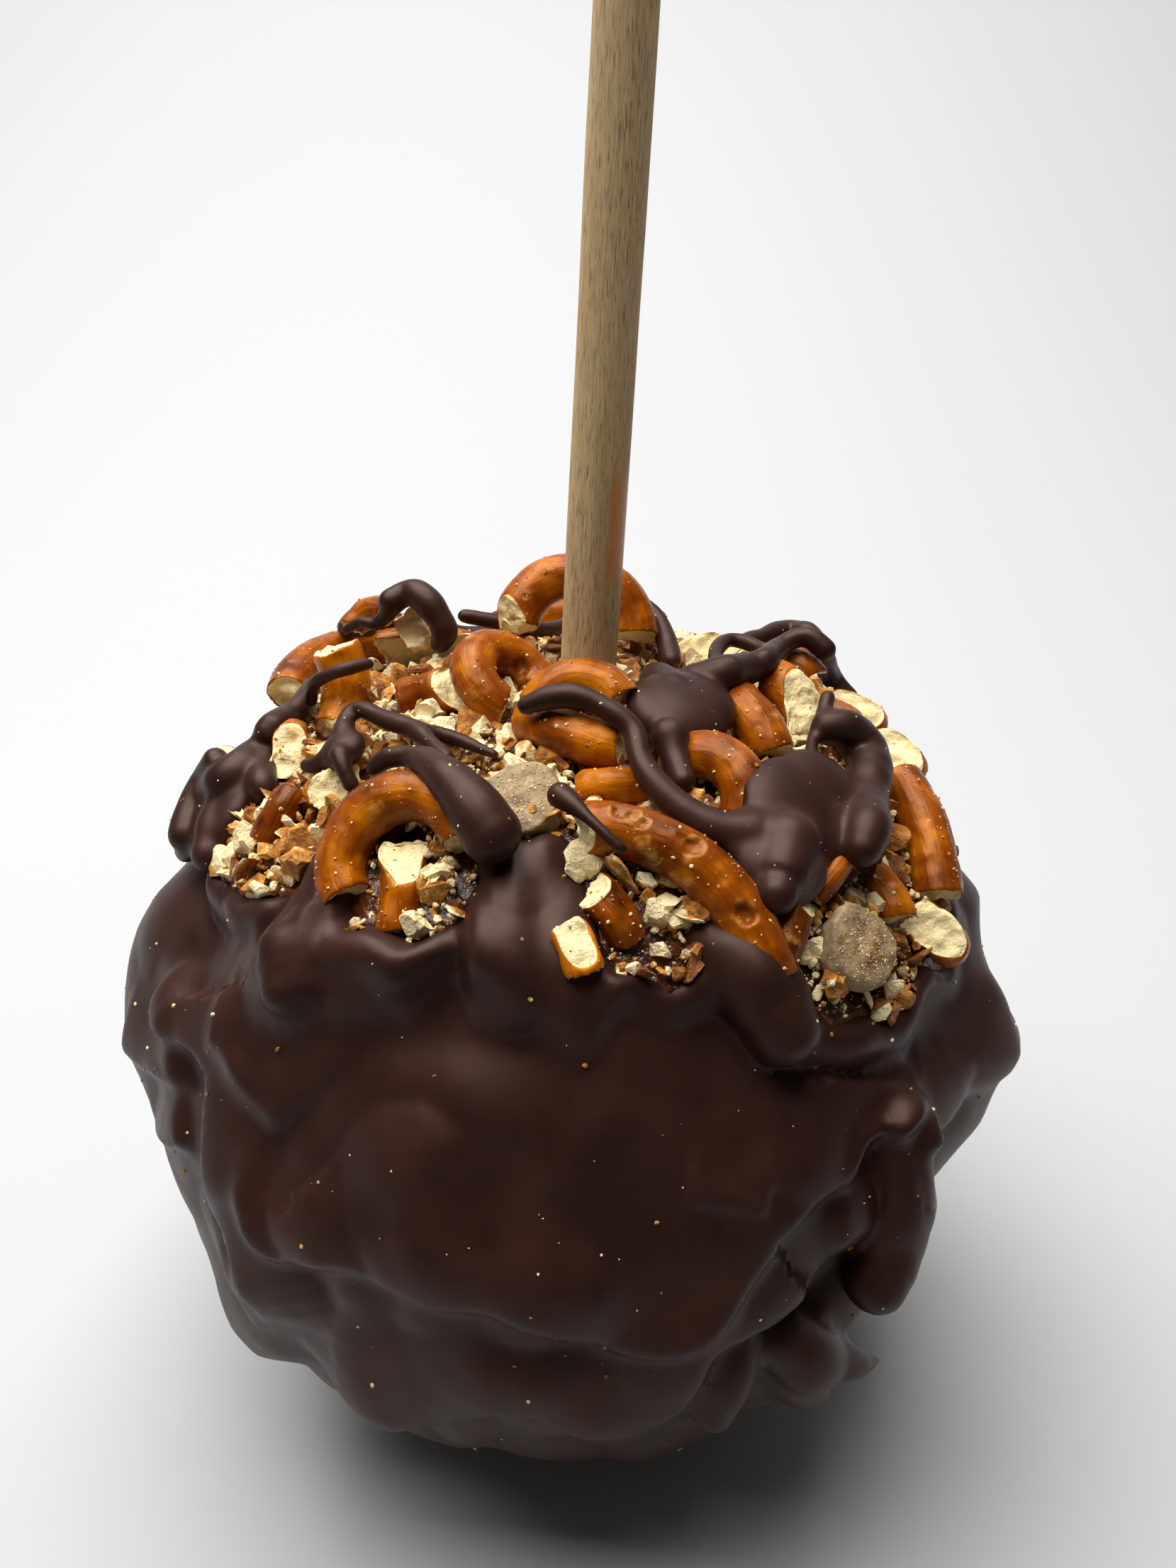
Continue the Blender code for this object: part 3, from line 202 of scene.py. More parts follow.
# A break is (share along the piece, right, up, toward the front, depth as a share of the radius)
STRANDS = (
    Strand("pretzel_arc_front", (1.0, -26.6, 80.5), (11.0, -28.9, 78.3), (16.8, -33.6, 70.4), 4.9, 0.62,
           ((0.0, -0.8, -0.1, 0.6, 0.1),)),
    Strand("pretzel_arch_front_left", (-18.3, -27.4, 74.2), (-15.0, -22.4, 81.2), (-7.9, -27.1, 79.4),
           4.7, 0.6, ((1.0, 0.5, -0.5, 0.7, 0.2),)),
    Strand("pretzel_post_front_left", (-13.7, -24.2, 77.8), (-13.6, -27.0, 76.0), (-13.6, -29.6, 72.5),
           4.6, 0.55, ((0.0, 0.0, 0.7, 0.7, 0.3),)),
    Strand("pretzel_knot_lower", (-3.2, -11.9, 84.2), (0.9, -16.0, 84.4), (5.4, -17.0, 83.3), 4.4, 0.5,
           ((1.0, 0.9, 0.0, 0.4, 0.0),)),
    Strand("pretzel_knot_upper", (-2.6, -10.2, 84.9), (1.1, -9.4, 87.2), (5.0, -11.4, 85.8), 4.2, 0.45),
    Strand("pretzel_hook_left_of_stick", (-2.6, -4.2, 83.6), (-5.4, -1.6, 86.6), (-6.2, -8.6, 84.2),
           4.4, 0.5),
    Strand("pretzel_arch_behind_stick", (-5.3, 5.2, 87.2), (0.0, 9.0, 91.6), (6.8, 6.0, 86.0), 4.8, 0.6,
           ((0.0, -0.7, -0.3, 0.6, 0.1),)),
    Strand("pretzel_bar_back_left", (-20.0, 9.6, 83.0), (-14.4, 9.3, 83.6), (-8.4, 8.2, 82.8), 4.8, 0.7,
           ((0.4, 0.0, -0.75, 0.65, 0.15),)),
    Strand("pretzel_bar_right", (32.2, -7.2, 75.8), (33.6, -13.2, 73.3), (34.2, -18.2, 69.2), 4.9, 0.6),
    Strand("pretzel_strand_right_centre", (11.0, -16.0, 82.3), (14.6, -18.2, 82.6), (15.4, -21.8, 78.9),
           4.5, 0.6),
    Strand("pretzel_chunk_left_upright", (-22.9, 0.6, 86.9), (-22.0, -0.6, 83.6), (-22.6, -4.4, 79.6),
           5.0, 0.3, ((1.0, 0.1, -0.75, 0.65, 0.1),)),
    Strand("pretzel_wedge_left", (-15.4, -3.6, 82.6), (-12.3, -4.4, 84.0), (-8.8, -5.2, 84.8), 4.8, 0.6,
           ((0.75, 0.45, 0.35, 0.8, 0.15),)),
    Strand("pretzel_chunk_right_brown", (14.8, -3.6, 83.4), (17.0, -7.6, 83.2), (19.0, -11.2, 80.4),
           4.8, 0.5),
    Strand("pretzel_chunk_right_cream", (19.6, -1.2, 84.0), (22.4, -3.8, 83.0), (24.0, -7.6, 80.6),
           5.0, 0.4, ((0.5, 0.55, 0.2, 0.8, 0.15),)),
    Strand("pretzel_chunk_under_rope", (21.2, 4.4, 83.2), (22.8, 4.0, 83.9), (24.6, 3.0, 82.8), 4.0, 0.6),
    Strand("pretzel_wedge_gold", (2.2, -19.6, 80.6), (4.2, -20.3, 81.4), (7.0, -19.4, 80.6), 3.6, 0.25),
    Strand("pretzel_chip_by_stick", (7.4, -9.4, 83.0), (7.9, -12.8, 83.2), (8.2, -14.8, 82.2), 3.0, 0.5,
           ((0.5, 0.6, 0.2, 0.8, 0.1),)),
    Strand("pretzel_chunk_below_arc", (2.2, -29.9, 76.2), (3.8, -31.4, 75.9), (5.2, -32.0, 73.6), 4.0, 0.8,
           ((0.2, -0.6, 0.6, 0.5, 0.4),)),
    Strand("pretzel_bulb_at_rim", (0.2, -34.1, 75.2), (1.0, -35.3, 74.2), (1.6, -35.9, 72.6), 3.4, 0.15,
           ((0.3, 0.1, 0.4, 0.9, 0.45),)),
    Strand("pretzel_wedge_right", (19.8, -28.0, 75.3), (19.0, -30.2, 73.4), (17.9, -31.8, 70.9), 3.6, 0.85,
           ((0.2, 0.7, 0.6, 0.3, 0.3),)),
    Strand("pretzel_skin_right", (21.1, -26.8, 74.2), (23.4, -24.9, 76.0), (25.2, -20.7, 77.4), 2.4, 0.7),
    Strand("pretzel_flake_right", (31.2, -21.6, 69.9), (33.2, -22.0, 67.9), (35.0, -20.9, 65.2), 3.8, 0.4,
           ((0.5, 0.1, 0.2, 0.97, 0.0),)),
    Strand("pretzel_chunk_right_gold", (27.2, -20.6, 73.0), (28.6, -21.9, 71.8), (29.4, -23.6, 70.0),
           3.2, 0.3),
    Strand("pretzel_chunk_left_bulb", (-22.0, -16.9, 78.5), (-20.8, -16.6, 80.0), (-19.2, -15.4, 80.3),
           3.7, 0.4, ((0.3, 0.3, 0.2, 0.9, 0.2),)),
    Strand("pretzel_chunk_left_cream", (-26.9, -4.3, 79.6), (-26.4, -7.4, 79.3), (-26.7, -9.9, 77.8),
           3.4, 0.3, ((0.5, 0.2, 0.2, 0.9, 0.0),)),
    Strand("pretzel_chunk_left_brown", (-25.2, -14.8, 77.9), (-26.0, -16.5, 76.8), (-27.2, -17.5, 74.6),
           3.4, 0.8),
    Strand("pretzel_chip_far_left", (-35.0, -2.8, 75.8), (-33.4, -4.4, 76.9), (-32.0, -6.6, 76.4), 2.6, 0.4,
           ((0.5, 0.0, 0.6, 0.8, 0.1),)),
    Strand("pretzel_chip_back_left", (-23.4, 13.0, 84.4), (-21.4, 13.4, 86.2), (-19.2, 12.2, 86.6), 3.4, 0.5),
    Strand("pretzel_chip_in_knot", (-17.2, 8.2, 88.0), (-16.3, 7.8, 86.6), (-15.2, 6.8, 85.0), 2.6, 0.3,
           ((0.5, 0.1, 0.1, 0.98, 0.0),)),
    Strand("pretzel_chips_back_right", (11.4, 8.4, 83.0), (14.4, 9.2, 83.8), (17.8, 8.0, 83.0), 3.4, 0.3,
           ((0.5, 0.1, 0.2, 0.97, 0.1),)),
    Strand("pretzel_hook_right", (25.3, -1.2, 80.6), (27.4, -2.6, 80.6), (26.4, -6.0, 78.8), 3.0, 0.6),
    Strand("pretzel_chip_right_back", (27.6, 3.0, 79.8), (29.0, 1.4, 80.0), (31.2, 1.6, 78.2), 3.2, 0.3,
           ((0.5, -0.1, 0.3, 0.95, 0.0),)),
    Strand("pretzel_chip_right_edge", (31.4, -0.4, 77.2), (32.6, -2.0, 77.2), (34.4, -2.6, 74.8), 3.4, 0.4,
           ((0.5, -0.2, 0.3, 0.93, 0.0),)),
    Strand("pretzel_bar_back", (-8.0, 20.5, 81.6), (1.0, 23.6, 82.6), (9.5, 20.0, 82.0), 4.8, 0.6),
    Strand("pretzel_arch_back_right", (20.5, 15.0, 78.5), (26.5, 20.0, 79.3), (24.0, 27.5, 73.6), 4.7, 0.55),
    Strand("pretzel_arch_back_left", (-30.5, 11.0, 77.8), (-27.0, 20.0, 79.4), (-18.5, 25.5, 77.6), 4.7, 0.6),
    Strand("pretzel_chunk_back", (-4.5, 31.5, 76.2), (-0.5, 33.6, 75.2), (4.0, 32.5, 75.0), 4.6, 0.5,
           ((0.5, 0.1, 0.4, -0.9, 0.1),)),
)


class Scar(NamedTuple):
    """A spot where a salt grain or a bubble sat: a pit, or with a negative depth a blister."""

    piece: str
    place: tuple
    radius: float
    depth: float


SCARS = (
    Scar("pretzel_arc_front", (4.7, -27.9, 82.8), 0.95, 0.30),
    Scar("pretzel_arc_front", (5.7, -28.1, 82.6), 0.80, 0.35),
    Scar("pretzel_arc_front", (6.4, -28.8, 82.2), 0.70, 0.30),
    Scar("pretzel_arc_front", (10.6, -30.0, 80.7), 1.05, 0.35),
    Scar("pretzel_arc_front", (6.3, -29.8, 80.6), 0.75, -0.12),
    Scar("pretzel_arc_front", (7.2, -30.1, 79.7), 0.70, -0.12),
    Scar("pretzel_arc_front", (8.8, -30.6, 78.2), 0.55, -0.12),
    Scar("pretzel_arc_front", (10.2, -31.2, 78.1), 0.50, -0.12),
    Scar("pretzel_arc_front", (14.7, -33.1, 76.2), 1.10, 0.80),
    Scar("pretzel_post_front_left", (-13.9, -28.8, 77.3), 0.95, -0.10),
    Scar("pretzel_hook_left_of_stick", (-4.4, -3.8, 86.4), 1.00, 0.60),
    Scar("pretzel_arch_front_left", (-16.0, -24.9, 81.4), 0.90, -0.10),
    Scar("pretzel_bar_right", (33.6, -14.6, 74.6), 0.60, -0.12),
    Scar("pretzel_bar_right", (34.6, -12.4, 75.0), 0.60, -0.12),
)


class Chip(NamedTuple):
    """A chocolate chip lying in the crumbs: a squat drop with its flat side down."""

    name: str
    place: tuple
    radius: float


CHIPS = (
    Chip("chocolate_chip_centre", (-3.8, -22.2, 80.3), 3.5),
    Chip("chocolate_chip_right", (24.4, -28.3, 69.9), 3.3),
)


class Pour(NamedTuple):
    """Chocolate poured over the topping: ropes of (x, y, z, thickness) and (centre, radius, depth) drops."""

    name: str
    ropes: tuple
    drops: tuple = ()


POURS = (
    Pour("drizzle_knot", (
        ((-18.3, 9.0, 88.4, 2.8), (-16.3, 8.0, 90.3, 2.9), (-14.3, 6.2, 89.8, 3.0),
         (-12.5, 5.2, 87.2, 3.0), (-13.2, 5.6, 85.4, 2.2)),
        ((-23.6, 9.0, 85.6, 1.2), (-21.4, 8.2, 87.1, 1.4), (-19.9, 7.4, 86.8, 1.4),
         (-18.3, 8.6, 88.0, 2.2)),
    )),
    Pour("drizzle_band_left", (
        ((-25.3, -1.8, 82.0, 1.4), (-24.6, -3.4, 84.6, 1.4), (-21.6, -4.6, 86.4, 1.5),
         (-18.9, -3.2, 86.6, 1.3)),
    )),
    Pour("drizzle_left_edge", (
        ((-26.4, 4.8, 81.3, 2.0), (-26.6, -0.2, 81.2, 2.4), (-28.4, -2.6, 79.7, 3.0),
         (-30.1, -4.7, 77.6, 3.6), (-32.1, -6.7, 75.9, 4.2), (-35.2, -5.2, 73.1, 4.4),
         (-37.6, -3.6, 70.4, 4.0)),
        ((-29.8, -3.6, 78.6, 3.2), (-29.2, -7.5, 77.7, 2.8), (-28.4, -11.6, 76.9, 2.8)),
        ((-31.4, -6.0, 76.6, 3.6), (-33.0, -10.4, 74.0, 4.0), (-33.6, -14.0, 71.2, 4.0)),
        ((-34.0, -2.0, 76.0, 2.6), (-36.4, -5.6, 73.8, 3.4), (-37.0, -9.6, 71.0, 3.6)),
    ), (
        ((-33.2, -9.0, 73.6), 5.4, 4.0), ((-35.4, -6.6, 72.0), 5.4, 4.0), ((-30.8, -5.0, 77.0), 3.6, 3.4),
    )),
    Pour("drizzle_left_swirl", (
        ((-20.0, -14.1, 82.4, 2.8), (-20.4, -11.6, 83.5, 1.9), (-20.0, -9.9, 84.4, 1.7),
         (-18.6, -10.5, 84.7, 1.7), (-17.0, -11.9, 84.5, 1.8), (-15.0, -13.5, 84.5, 1.8),
         (-13.3, -14.9, 84.5, 1.9), (-11.8, -17.5, 84.3, 1.7), (-9.9, -20.6, 84.2, 1.4)),
        ((-13.4, -14.8, 84.5, 1.5), (-10.2, -15.0, 83.9, 1.5), (-7.8, -16.3, 83.4, 1.2),
         (-6.1, -17.0, 83.0, 1.0)),
        ((-20.2, -14.4, 82.0, 2.2), (-19.6, -16.6, 81.4, 1.6), (-18.9, -18.4, 80.6, 1.6)),
        ((-20.6, -14.0, 82.0, 2.4), (-22.6, -14.4, 80.8, 1.8), (-24.0, -13.4, 80.4, 1.4)),
    ), (
        ((-20.2, -14.3, 82.3), 2.3, 2.8),
    )),
    Pour("drizzle_fat_drop", (
        ((-16.8, -19.2, 82.6, 1.7), (-15.4, -19.6, 83.9, 2.0), (-13.2, -20.4, 84.4, 2.3),
         (-11.0, -22.4, 84.3, 3.1), (-8.8, -25.0, 83.6, 4.2), (-7.0, -27.0, 82.2, 5.0),
         (-5.8, -28.2, 80.8, 5.2)),
    )),
    Pour("drizzle_teardrop", (
        ((-0.4, -26.4, 83.6, 2.6), (0.4, -27.6, 83.6, 2.1), (1.9, -29.4, 83.1, 1.2), (3.3, -30.7, 82.2, 1.0),
         (4.9, -31.4, 81.0, 1.1)),
    )),
    Pour("drizzle_centre_pool", (
        ((-3.7, -15.5, 87.0, 1.8), (-1.3, -15.6, 88.0, 2.3), (1.7, -16.2, 88.2, 2.3), (4.6, -17.6, 87.0, 2.3),
         (6.1, -18.6, 85.9, 2.3), (6.4, -20.9, 84.4, 2.4), (7.8, -23.1, 82.9, 2.7), (10.3, -25.0, 81.2, 3.0),
         (13.2, -25.9, 80.0, 3.4), (16.0, -25.6, 79.6, 4.0)),
        ((24.2, -8.9, 82.2, 3.2), (26.6, -7.9, 81.4, 4.0), (28.4, -9.7, 79.7, 4.4),
         (27.4, -15.4, 78.6, 4.4), (26.2, -19.8, 77.5, 4.2), (25.4, -22.2, 76.4, 3.2)),
        ((24.8, -2.4, 82.6, 1.7), (23.8, -8.0, 82.6, 1.5), (22.6, -12.2, 82.0, 1.4),
         (22.2, -14.8, 81.6, 1.6)),
        ((18.8, -25.4, 78.6, 6.4), (18.0, -28.2, 77.0, 5.0), (17.4, -29.7, 76.0, 3.8)),
    ), (
        ((20.2, -21.9, 79.8), 5.6, 3.8),
        ((22.3, -19.0, 80.3), 4.6, 3.6),
        ((18.6, -25.2, 78.6), 4.6, 3.8),
        ((23.6, -21.8, 78.1), 3.6, 3.6),
        ((15.6, -26.0, 79.4), 2.8, 3.0),
        ((18.2, -27.0, 77.8), 4.4, 3.6),
    )),
    Pour("drizzle_round_blob", (
        ((10.3, -21.2, 82.2, 2.4), (9.6, -18.4, 83.4, 2.6), (9.2, -15.6, 84.4, 3.6)),
        ((9.8, -9.4, 85.2, 5.4), (9.0, -5.6, 85.2, 4.4), (8.6, -2.0, 84.6, 3.2)),
        ((12.0, -6.2, 85.4, 4.2), (15.4, -3.4, 85.6, 3.6), (18.4, -1.6, 85.6, 2.8),
         (20.6, 1.6, 86.1, 2.2), (22.5, 3.2, 86.8, 2.1), (24.3, 3.2, 87.0, 2.2),
         (25.9, 2.4, 85.8, 2.6)),
        ((14.6, -3.4, 85.8, 1.8), (14.6, 0.6, 86.4, 1.6), (16.4, 4.4, 86.4, 1.6),
         (19.1, 3.0, 86.0, 1.6), (20.0, 0.4, 85.8, 1.8)),
    ), (
        ((10.2, -11.2, 84.9), 4.9, 4.6),
        ((11.8, -9.8, 84.9), 4.2, 4.4),
    )),
    Pour("drizzle_back", (
        ((7.6, 10.4, 88.2, 1.8), (9.4, 8.8, 87.0, 2.0), (10.2, 4.8, 85.2, 2.2),
         (10.4, 2.4, 84.6, 2.2)),
    )),
    Pour("drizzle_strip_behind", (
        ((-11.4, 12.6, 86.2, 1.6), (-7.6, 12.8, 85.4, 1.8), (-4.2, 13.6, 84.4, 1.8),
         (-0.6, 17.0, 83.4, 2.0), (2.0, 20.6, 85.8, 2.0), (3.6, 25.0, 83.8, 2.2),
         (4.2, 29.6, 79.4, 2.6)),
    )),
    Pour("drizzle_back_swirl", (
        ((-22.0, 17.4, 83.0, 1.8), (-25.0, 18.6, 82.8, 2.0), (-24.6, 23.0, 81.6, 2.2),
         (-20.0, 26.4, 80.8, 2.4), (-15.0, 26.0, 79.6, 2.4), (-10.0, 27.6, 78.6, 2.6)),
    )),
    Pour("drizzle_back_right", (
        ((17.0, 12.4, 82.4, 2.0), (21.0, 17.0, 82.2, 2.2), (25.6, 21.6, 81.4, 2.4),
         (28.6, 22.0, 77.4, 2.6), (32.0, 20.6, 73.4, 2.8)),
    )),
)


def ease(value: np.ndarray) -> np.ndarray:
    """Ease from 0 to 1 as the values run from 0 to 1."""
    value = np.clip(value, 0.0, 1.0)
    return value * value * (3.0 - 2.0 * value)


def directions(azimuth: np.ndarray, latitude: np.ndarray) -> np.ndarray:
    """Unit vectors at azimuths and latitudes in degrees.

    Args:
        azimuth: Degrees round from the front, towards the right.
        latitude: Degrees above the apple's middle.

    Returns:
        One vector for each pair.
    """
    turn = np.radians(azimuth)
    rise = np.radians(latitude)
    return np.stack((np.cos(rise) * np.sin(turn), -np.cos(rise) * np.cos(turn), np.sin(rise)), axis=-1)


def polar(rays: np.ndarray) -> tuple[np.ndarray, np.ndarray]:
    """Azimuth and latitude, in degrees, of unit vectors."""
    azimuth = np.degrees(np.arctan2(rays[..., 0], -rays[..., 1]))
    return azimuth, np.degrees(np.arcsin(np.clip(rays[..., 2], -1.0, 1.0)))


def rim_latitude(azimuth: np.ndarray) -> np.ndarray:
    """Latitude of the chocolate's edge at azimuths in degrees.

    Args:
        azimuth: Degrees round from the front, towards the right.

    Returns:
        Degrees above the apple's middle for each azimuth.
    """
    stops = np.array([stop for stop, _ in RIM], dtype=float)
    levels = np.array([level for _, level in RIM], dtype=float)
    azimuth = (np.asarray(azimuth) + 180.0) % 360.0 - 180.0
    index = np.clip(np.searchsorted(stops, azimuth, side="right") - 1, 0, len(stops) - 2)
    share = ease((azimuth - stops[index]) / (stops[index + 1] - stops[index]))
    return levels[index] + (levels[index + 1] - levels[index]) * share


def bed_radius(latitude: np.ndarray) -> np.ndarray:
    """Distance from the apple's middle to the crumb bed, without its crumbs.

    Args:
        latitude: Degrees above the apple's middle.

    Returns:
        Distance in millimetres for each latitude.
    """
    rise = np.radians(np.maximum(latitude, 0.0))
    across = (np.abs(np.cos(rise)) / BED_RADIUS) ** BED_POWER
    up = (np.sin(rise) / BED_HEIGHT) ** BED_POWER
    return np.minimum((across + up) ** (-1.0 / BED_POWER), BED_LIMIT)


def core_radius(azimuth: np.ndarray, latitude: np.ndarray) -> np.ndarray:
    """Radius of the apple under its caramel, which swells into the bed above the chocolate's edge."""
    blend = ease((latitude - rim_latitude(azimuth) + BED_BLEND + BED_REACH) / BED_BLEND)
    return APPLE_RADIUS + (bed_radius(latitude) - APPLE_RADIUS) * blend


def noise_at(points: np.ndarray, size: float, seed: float = 0.0) -> np.ndarray:
    """Soft noise between -1 and 1 at points in millimetres.

    Args:
        points: One point a row.
        size: Width of the noise's features in millimetres.
        seed: Number that picks another pattern of the same kind.

    Returns:
        One value for each point.
    """
    rows = (points / size + seed * 13.7).tolist()
    return np.array([noise.noise(row) for row in rows])


def facing(right: float, up: float, toward: float) -> np.ndarray:
    """Unit direction given as seen from the front: to the right, up, and toward the viewer."""
    way = np.array((right, 0.0, 0.0)) + up * UPWARD + toward * OUTWARD
    return way / np.linalg.norm(way)


def deselect_all() -> None:
    """Leave no object selected."""
    bpy.ops.object.select_all(action="DESELECT")


def take(name: str) -> bpy.types.Object:
    """Name the object that was added last, and its data.

    Args:
        name: Name to give it.

    Returns:
        The object.
    """
    piece = bpy.context.active_object
    piece.name = name
    piece.data.name = name
    return piece


def only(piece: bpy.types.Object) -> None:
    """Make one object the only selected and the active one.

    Args:
        piece: Object to select.
    """
    deselect_all()
    piece.select_set(True)
    bpy.context.view_layer.objects.active = piece


def settle(piece: bpy.types.Object) -> None:
    """Put an object's place, turn and size into its mesh."""
    only(piece)
    bpy.ops.object.transform_apply(location=True, rotation=True, scale=True)


def change(piece: bpy.types.Object, kind: str, **settings: Any) -> None:
    """Add one modifier with its settings and apply it.

    Args:
        piece: Object to change.
        kind: Blender's name of the modifier type.
        settings: Values of the modifier's properties.
    """
    only(piece)
    step = piece.modifiers.new("change", kind)
    for key, value in settings.items():
        setattr(step, key, value)
    bpy.ops.object.modifier_apply(modifier=step.name)


def join(parts: Sequence[bpy.types.Object], name: str) -> bpy.types.Object:
    """Join objects into one.

    Args:
        parts: Objects to join.
        name: Name of the joined object.

    Returns:
        The joined object.
    """
    deselect_all()
    for part in parts:
        part.select_set(True)
    bpy.context.view_layer.objects.active = parts[0]
    if len(parts) > 1:
        bpy.ops.object.join()
    return take(name)


def voxel_skin(piece: bpy.types.Object, voxel: float, passes: int) -> None:
    """Wrap overlapping bodies in one even skin and soften its steps.

    Args:
        piece: Object to wrap.
        voxel: Edge of a voxel in millimetres.
        passes: Number of smoothing passes.
    """
    change(piece, "REMESH", mode="VOXEL", voxel_size=voxel * MM, use_smooth_shade=True)
    change(piece, "SMOOTH", factor=0.5, iterations=passes)


def points_of(piece: bpy.types.Object) -> np.ndarray:
    """Vertices of a mesh in millimetres, one a row.

    Args:
        piece: Mesh object to read.

    Returns:
        One point a row.
    """
    flat = np.empty(len(piece.data.vertices) * 3)
    piece.data.vertices.foreach_get("co", flat)
    return flat.reshape(-1, 3) / MM


def normals_of(piece: bpy.types.Object) -> np.ndarray:
    """Vertex normals of a mesh, one a row.

    Args:
        piece: Mesh object to read.

    Returns:
        One unit vector a row.
    """
    flat = np.empty(len(piece.data.vertices) * 3)
    piece.data.vertex_normals.foreach_get("vector", flat)
    return flat.reshape(-1, 3)


def place_points(piece: bpy.types.Object, points: np.ndarray) -> None:
    """Move a mesh's vertices to points in millimetres."""
    piece.data.vertices.foreach_set("co", (points * MM).ravel())
    piece.data.update()


def mark(piece: bpy.types.Object, name: str, values: np.ndarray) -> None:
    """Store one number or one vector for each vertex.

    Args:
        piece: Mesh object that carries them.
        name: Name of the attribute.
        values: One number, or one row of three, for each vertex.
    """
    vector = values.ndim == 2
    layer = piece.data.attributes.new(name, "FLOAT_VECTOR" if vector else "FLOAT", "POINT")
    layer.data.foreach_set("vector" if vector else "value", values.astype(np.float32).ravel())


def smooth_shading(piece: bpy.types.Object) -> None:
    """Shade every face smooth."""
    piece.data.shade_smooth()


def linear(colour: str) -> tuple[float, float, float, float]:
    """Linear RGBA of an sRGB hex colour such as #A0B1C2.

    Args:
        colour: Hash sign and six hex digits.

    Returns:
        Red, green, blue and alpha from 0 to 1.
    """
    parts = [int(colour[at:at + 2], 16) / 255.0 for at in (1, 3, 5)]
    parts = [part / 12.92 if part <= 0.04045 else ((part + 0.055) / 1.055) ** 2.4 for part in parts]
    return (*parts, 1.0)


def add_node(tree: bpy.types.NodeTree, kind: str, links: dict | None = None,
             **settings: Any) -> bpy.types.Node:
    """Add a shader node.

    Args:
        tree: Node tree of the material.
        kind: Node type without its ShaderNode prefix.
        links: Value or output socket for each named or numbered input.
        settings: Values of the node's properties.

    Returns:
        The new node.
    """
    made = tree.nodes.new("ShaderNode" + kind)
    for key, value in settings.items():
        setattr(made, key, value)
    for key, value in (links or {}).items():
        if isinstance(value, bpy.types.NodeSocket):
            tree.links.new(value, made.inputs[key])
        else:
            made.inputs[key].default_value = value
    return made


def ramp(tree: bpy.types.NodeTree, factor: bpy.types.NodeSocket,
         stops: Sequence[tuple]) -> bpy.types.NodeSocket:
    """Colour ramp through (place, hex colour) stops.

    Args:
        tree: Node tree of the material.
        factor: Socket that picks the place on the ramp.
        stops: Places from 0 to 1, each with its hex colour.

    Returns:
        The colour.
    """
    made = add_node(tree, "ValToRGB", {"Fac": factor})
    bar = made.color_ramp.elements
    while len(bar) < len(stops):
        bar.new(0.5)
    for element, (place, colour) in zip(bar, stops):
        element.position = place
        element.color = linear(colour)
    return made.outputs["Color"]


def spread(tree: bpy.types.NodeTree, value: bpy.types.NodeSocket, source: tuple,
           target: tuple) -> bpy.types.NodeSocket:
    """Map a socket's range on to another one, clamped.

    Args:
        tree: Node tree of the material.
        value: Socket to map.
        source: Lowest and highest value that come in.
        target: Values that those two become.

    Returns:
        The mapped value.
    """
    made = add_node(tree, "MapRange", {
        "Value": value, "From Min": source[0], "From Max": source[1],
        "To Min": target[0], "To Max": target[1]})
    return made.outputs["Result"]


def blend_colours(tree: bpy.types.NodeTree, share: Any, first: Any, second: Any) -> bpy.types.NodeSocket:
    """Mix two colours by a share."""
    made = add_node(tree, "Mix", {0: share, 6: first, 7: second}, data_type="RGBA")
    return made.outputs[2]


def grain(tree: bpy.types.NodeTree, place: bpy.types.NodeSocket, size: float, detail: float = 3.0,
          rough: float = 0.5) -> bpy.types.NodeSocket:
    """Noise of a feature size in millimetres.

    Args:
        tree: Node tree of the material.
        place: Coordinates in metres.
        size: Width of a feature in millimetres.
        detail: Octaves of finer noise.
        rough: Strength of each finer octave.

    Returns:
        The noise between 0 and 1.
    """
    made = add_node(tree, "TexNoise", {
        "Vector": place, "Scale": 1.0 / (size * MM), "Detail": detail, "Roughness": rough})
    return made.outputs["Fac"]


def shifted(tree: bpy.types.NodeTree, pattern: bpy.types.NodeSocket, weight: float,
            tone: bpy.types.NodeSocket) -> bpy.types.NodeSocket:
    """Move a tone up and down by a noise pattern, whose middle value leaves it as it is.

    Args:
        tree: Node tree of the material.
        pattern: Noise between 0 and 1.
        weight: How strongly it moves the tone.
        tone: The tone to move.

    Returns:
        The moved tone.
    """
    centred = add_node(tree, "Math", {0: pattern, 1: 0.5}, operation="SUBTRACT")
    made = add_node(tree, "Math", {0: centred.outputs[0], 1: weight, 2: tone}, operation="MULTIPLY_ADD")
    return made.outputs[0]


def new_material(name: str) -> tuple[bpy.types.Material, bpy.types.NodeTree, bpy.types.Node]:
    """Empty node material with its tree and its Principled shader.

    Args:
        name: Name of the material.

    Returns:
        The material, its node tree and its shader.
    """
    made = bpy.data.materials.new(name)
    made.use_nodes = True
    return made, made.node_tree, made.node_tree.nodes["Principled BSDF"]


def connect(tree: bpy.types.NodeTree, shader: bpy.types.Node, **links: bpy.types.NodeSocket) -> None:
    """Link sockets to the shader's inputs, named with underscores for spaces."""
    for key, value in links.items():
        tree.links.new(value, shader.inputs[key.replace("_", " ")])


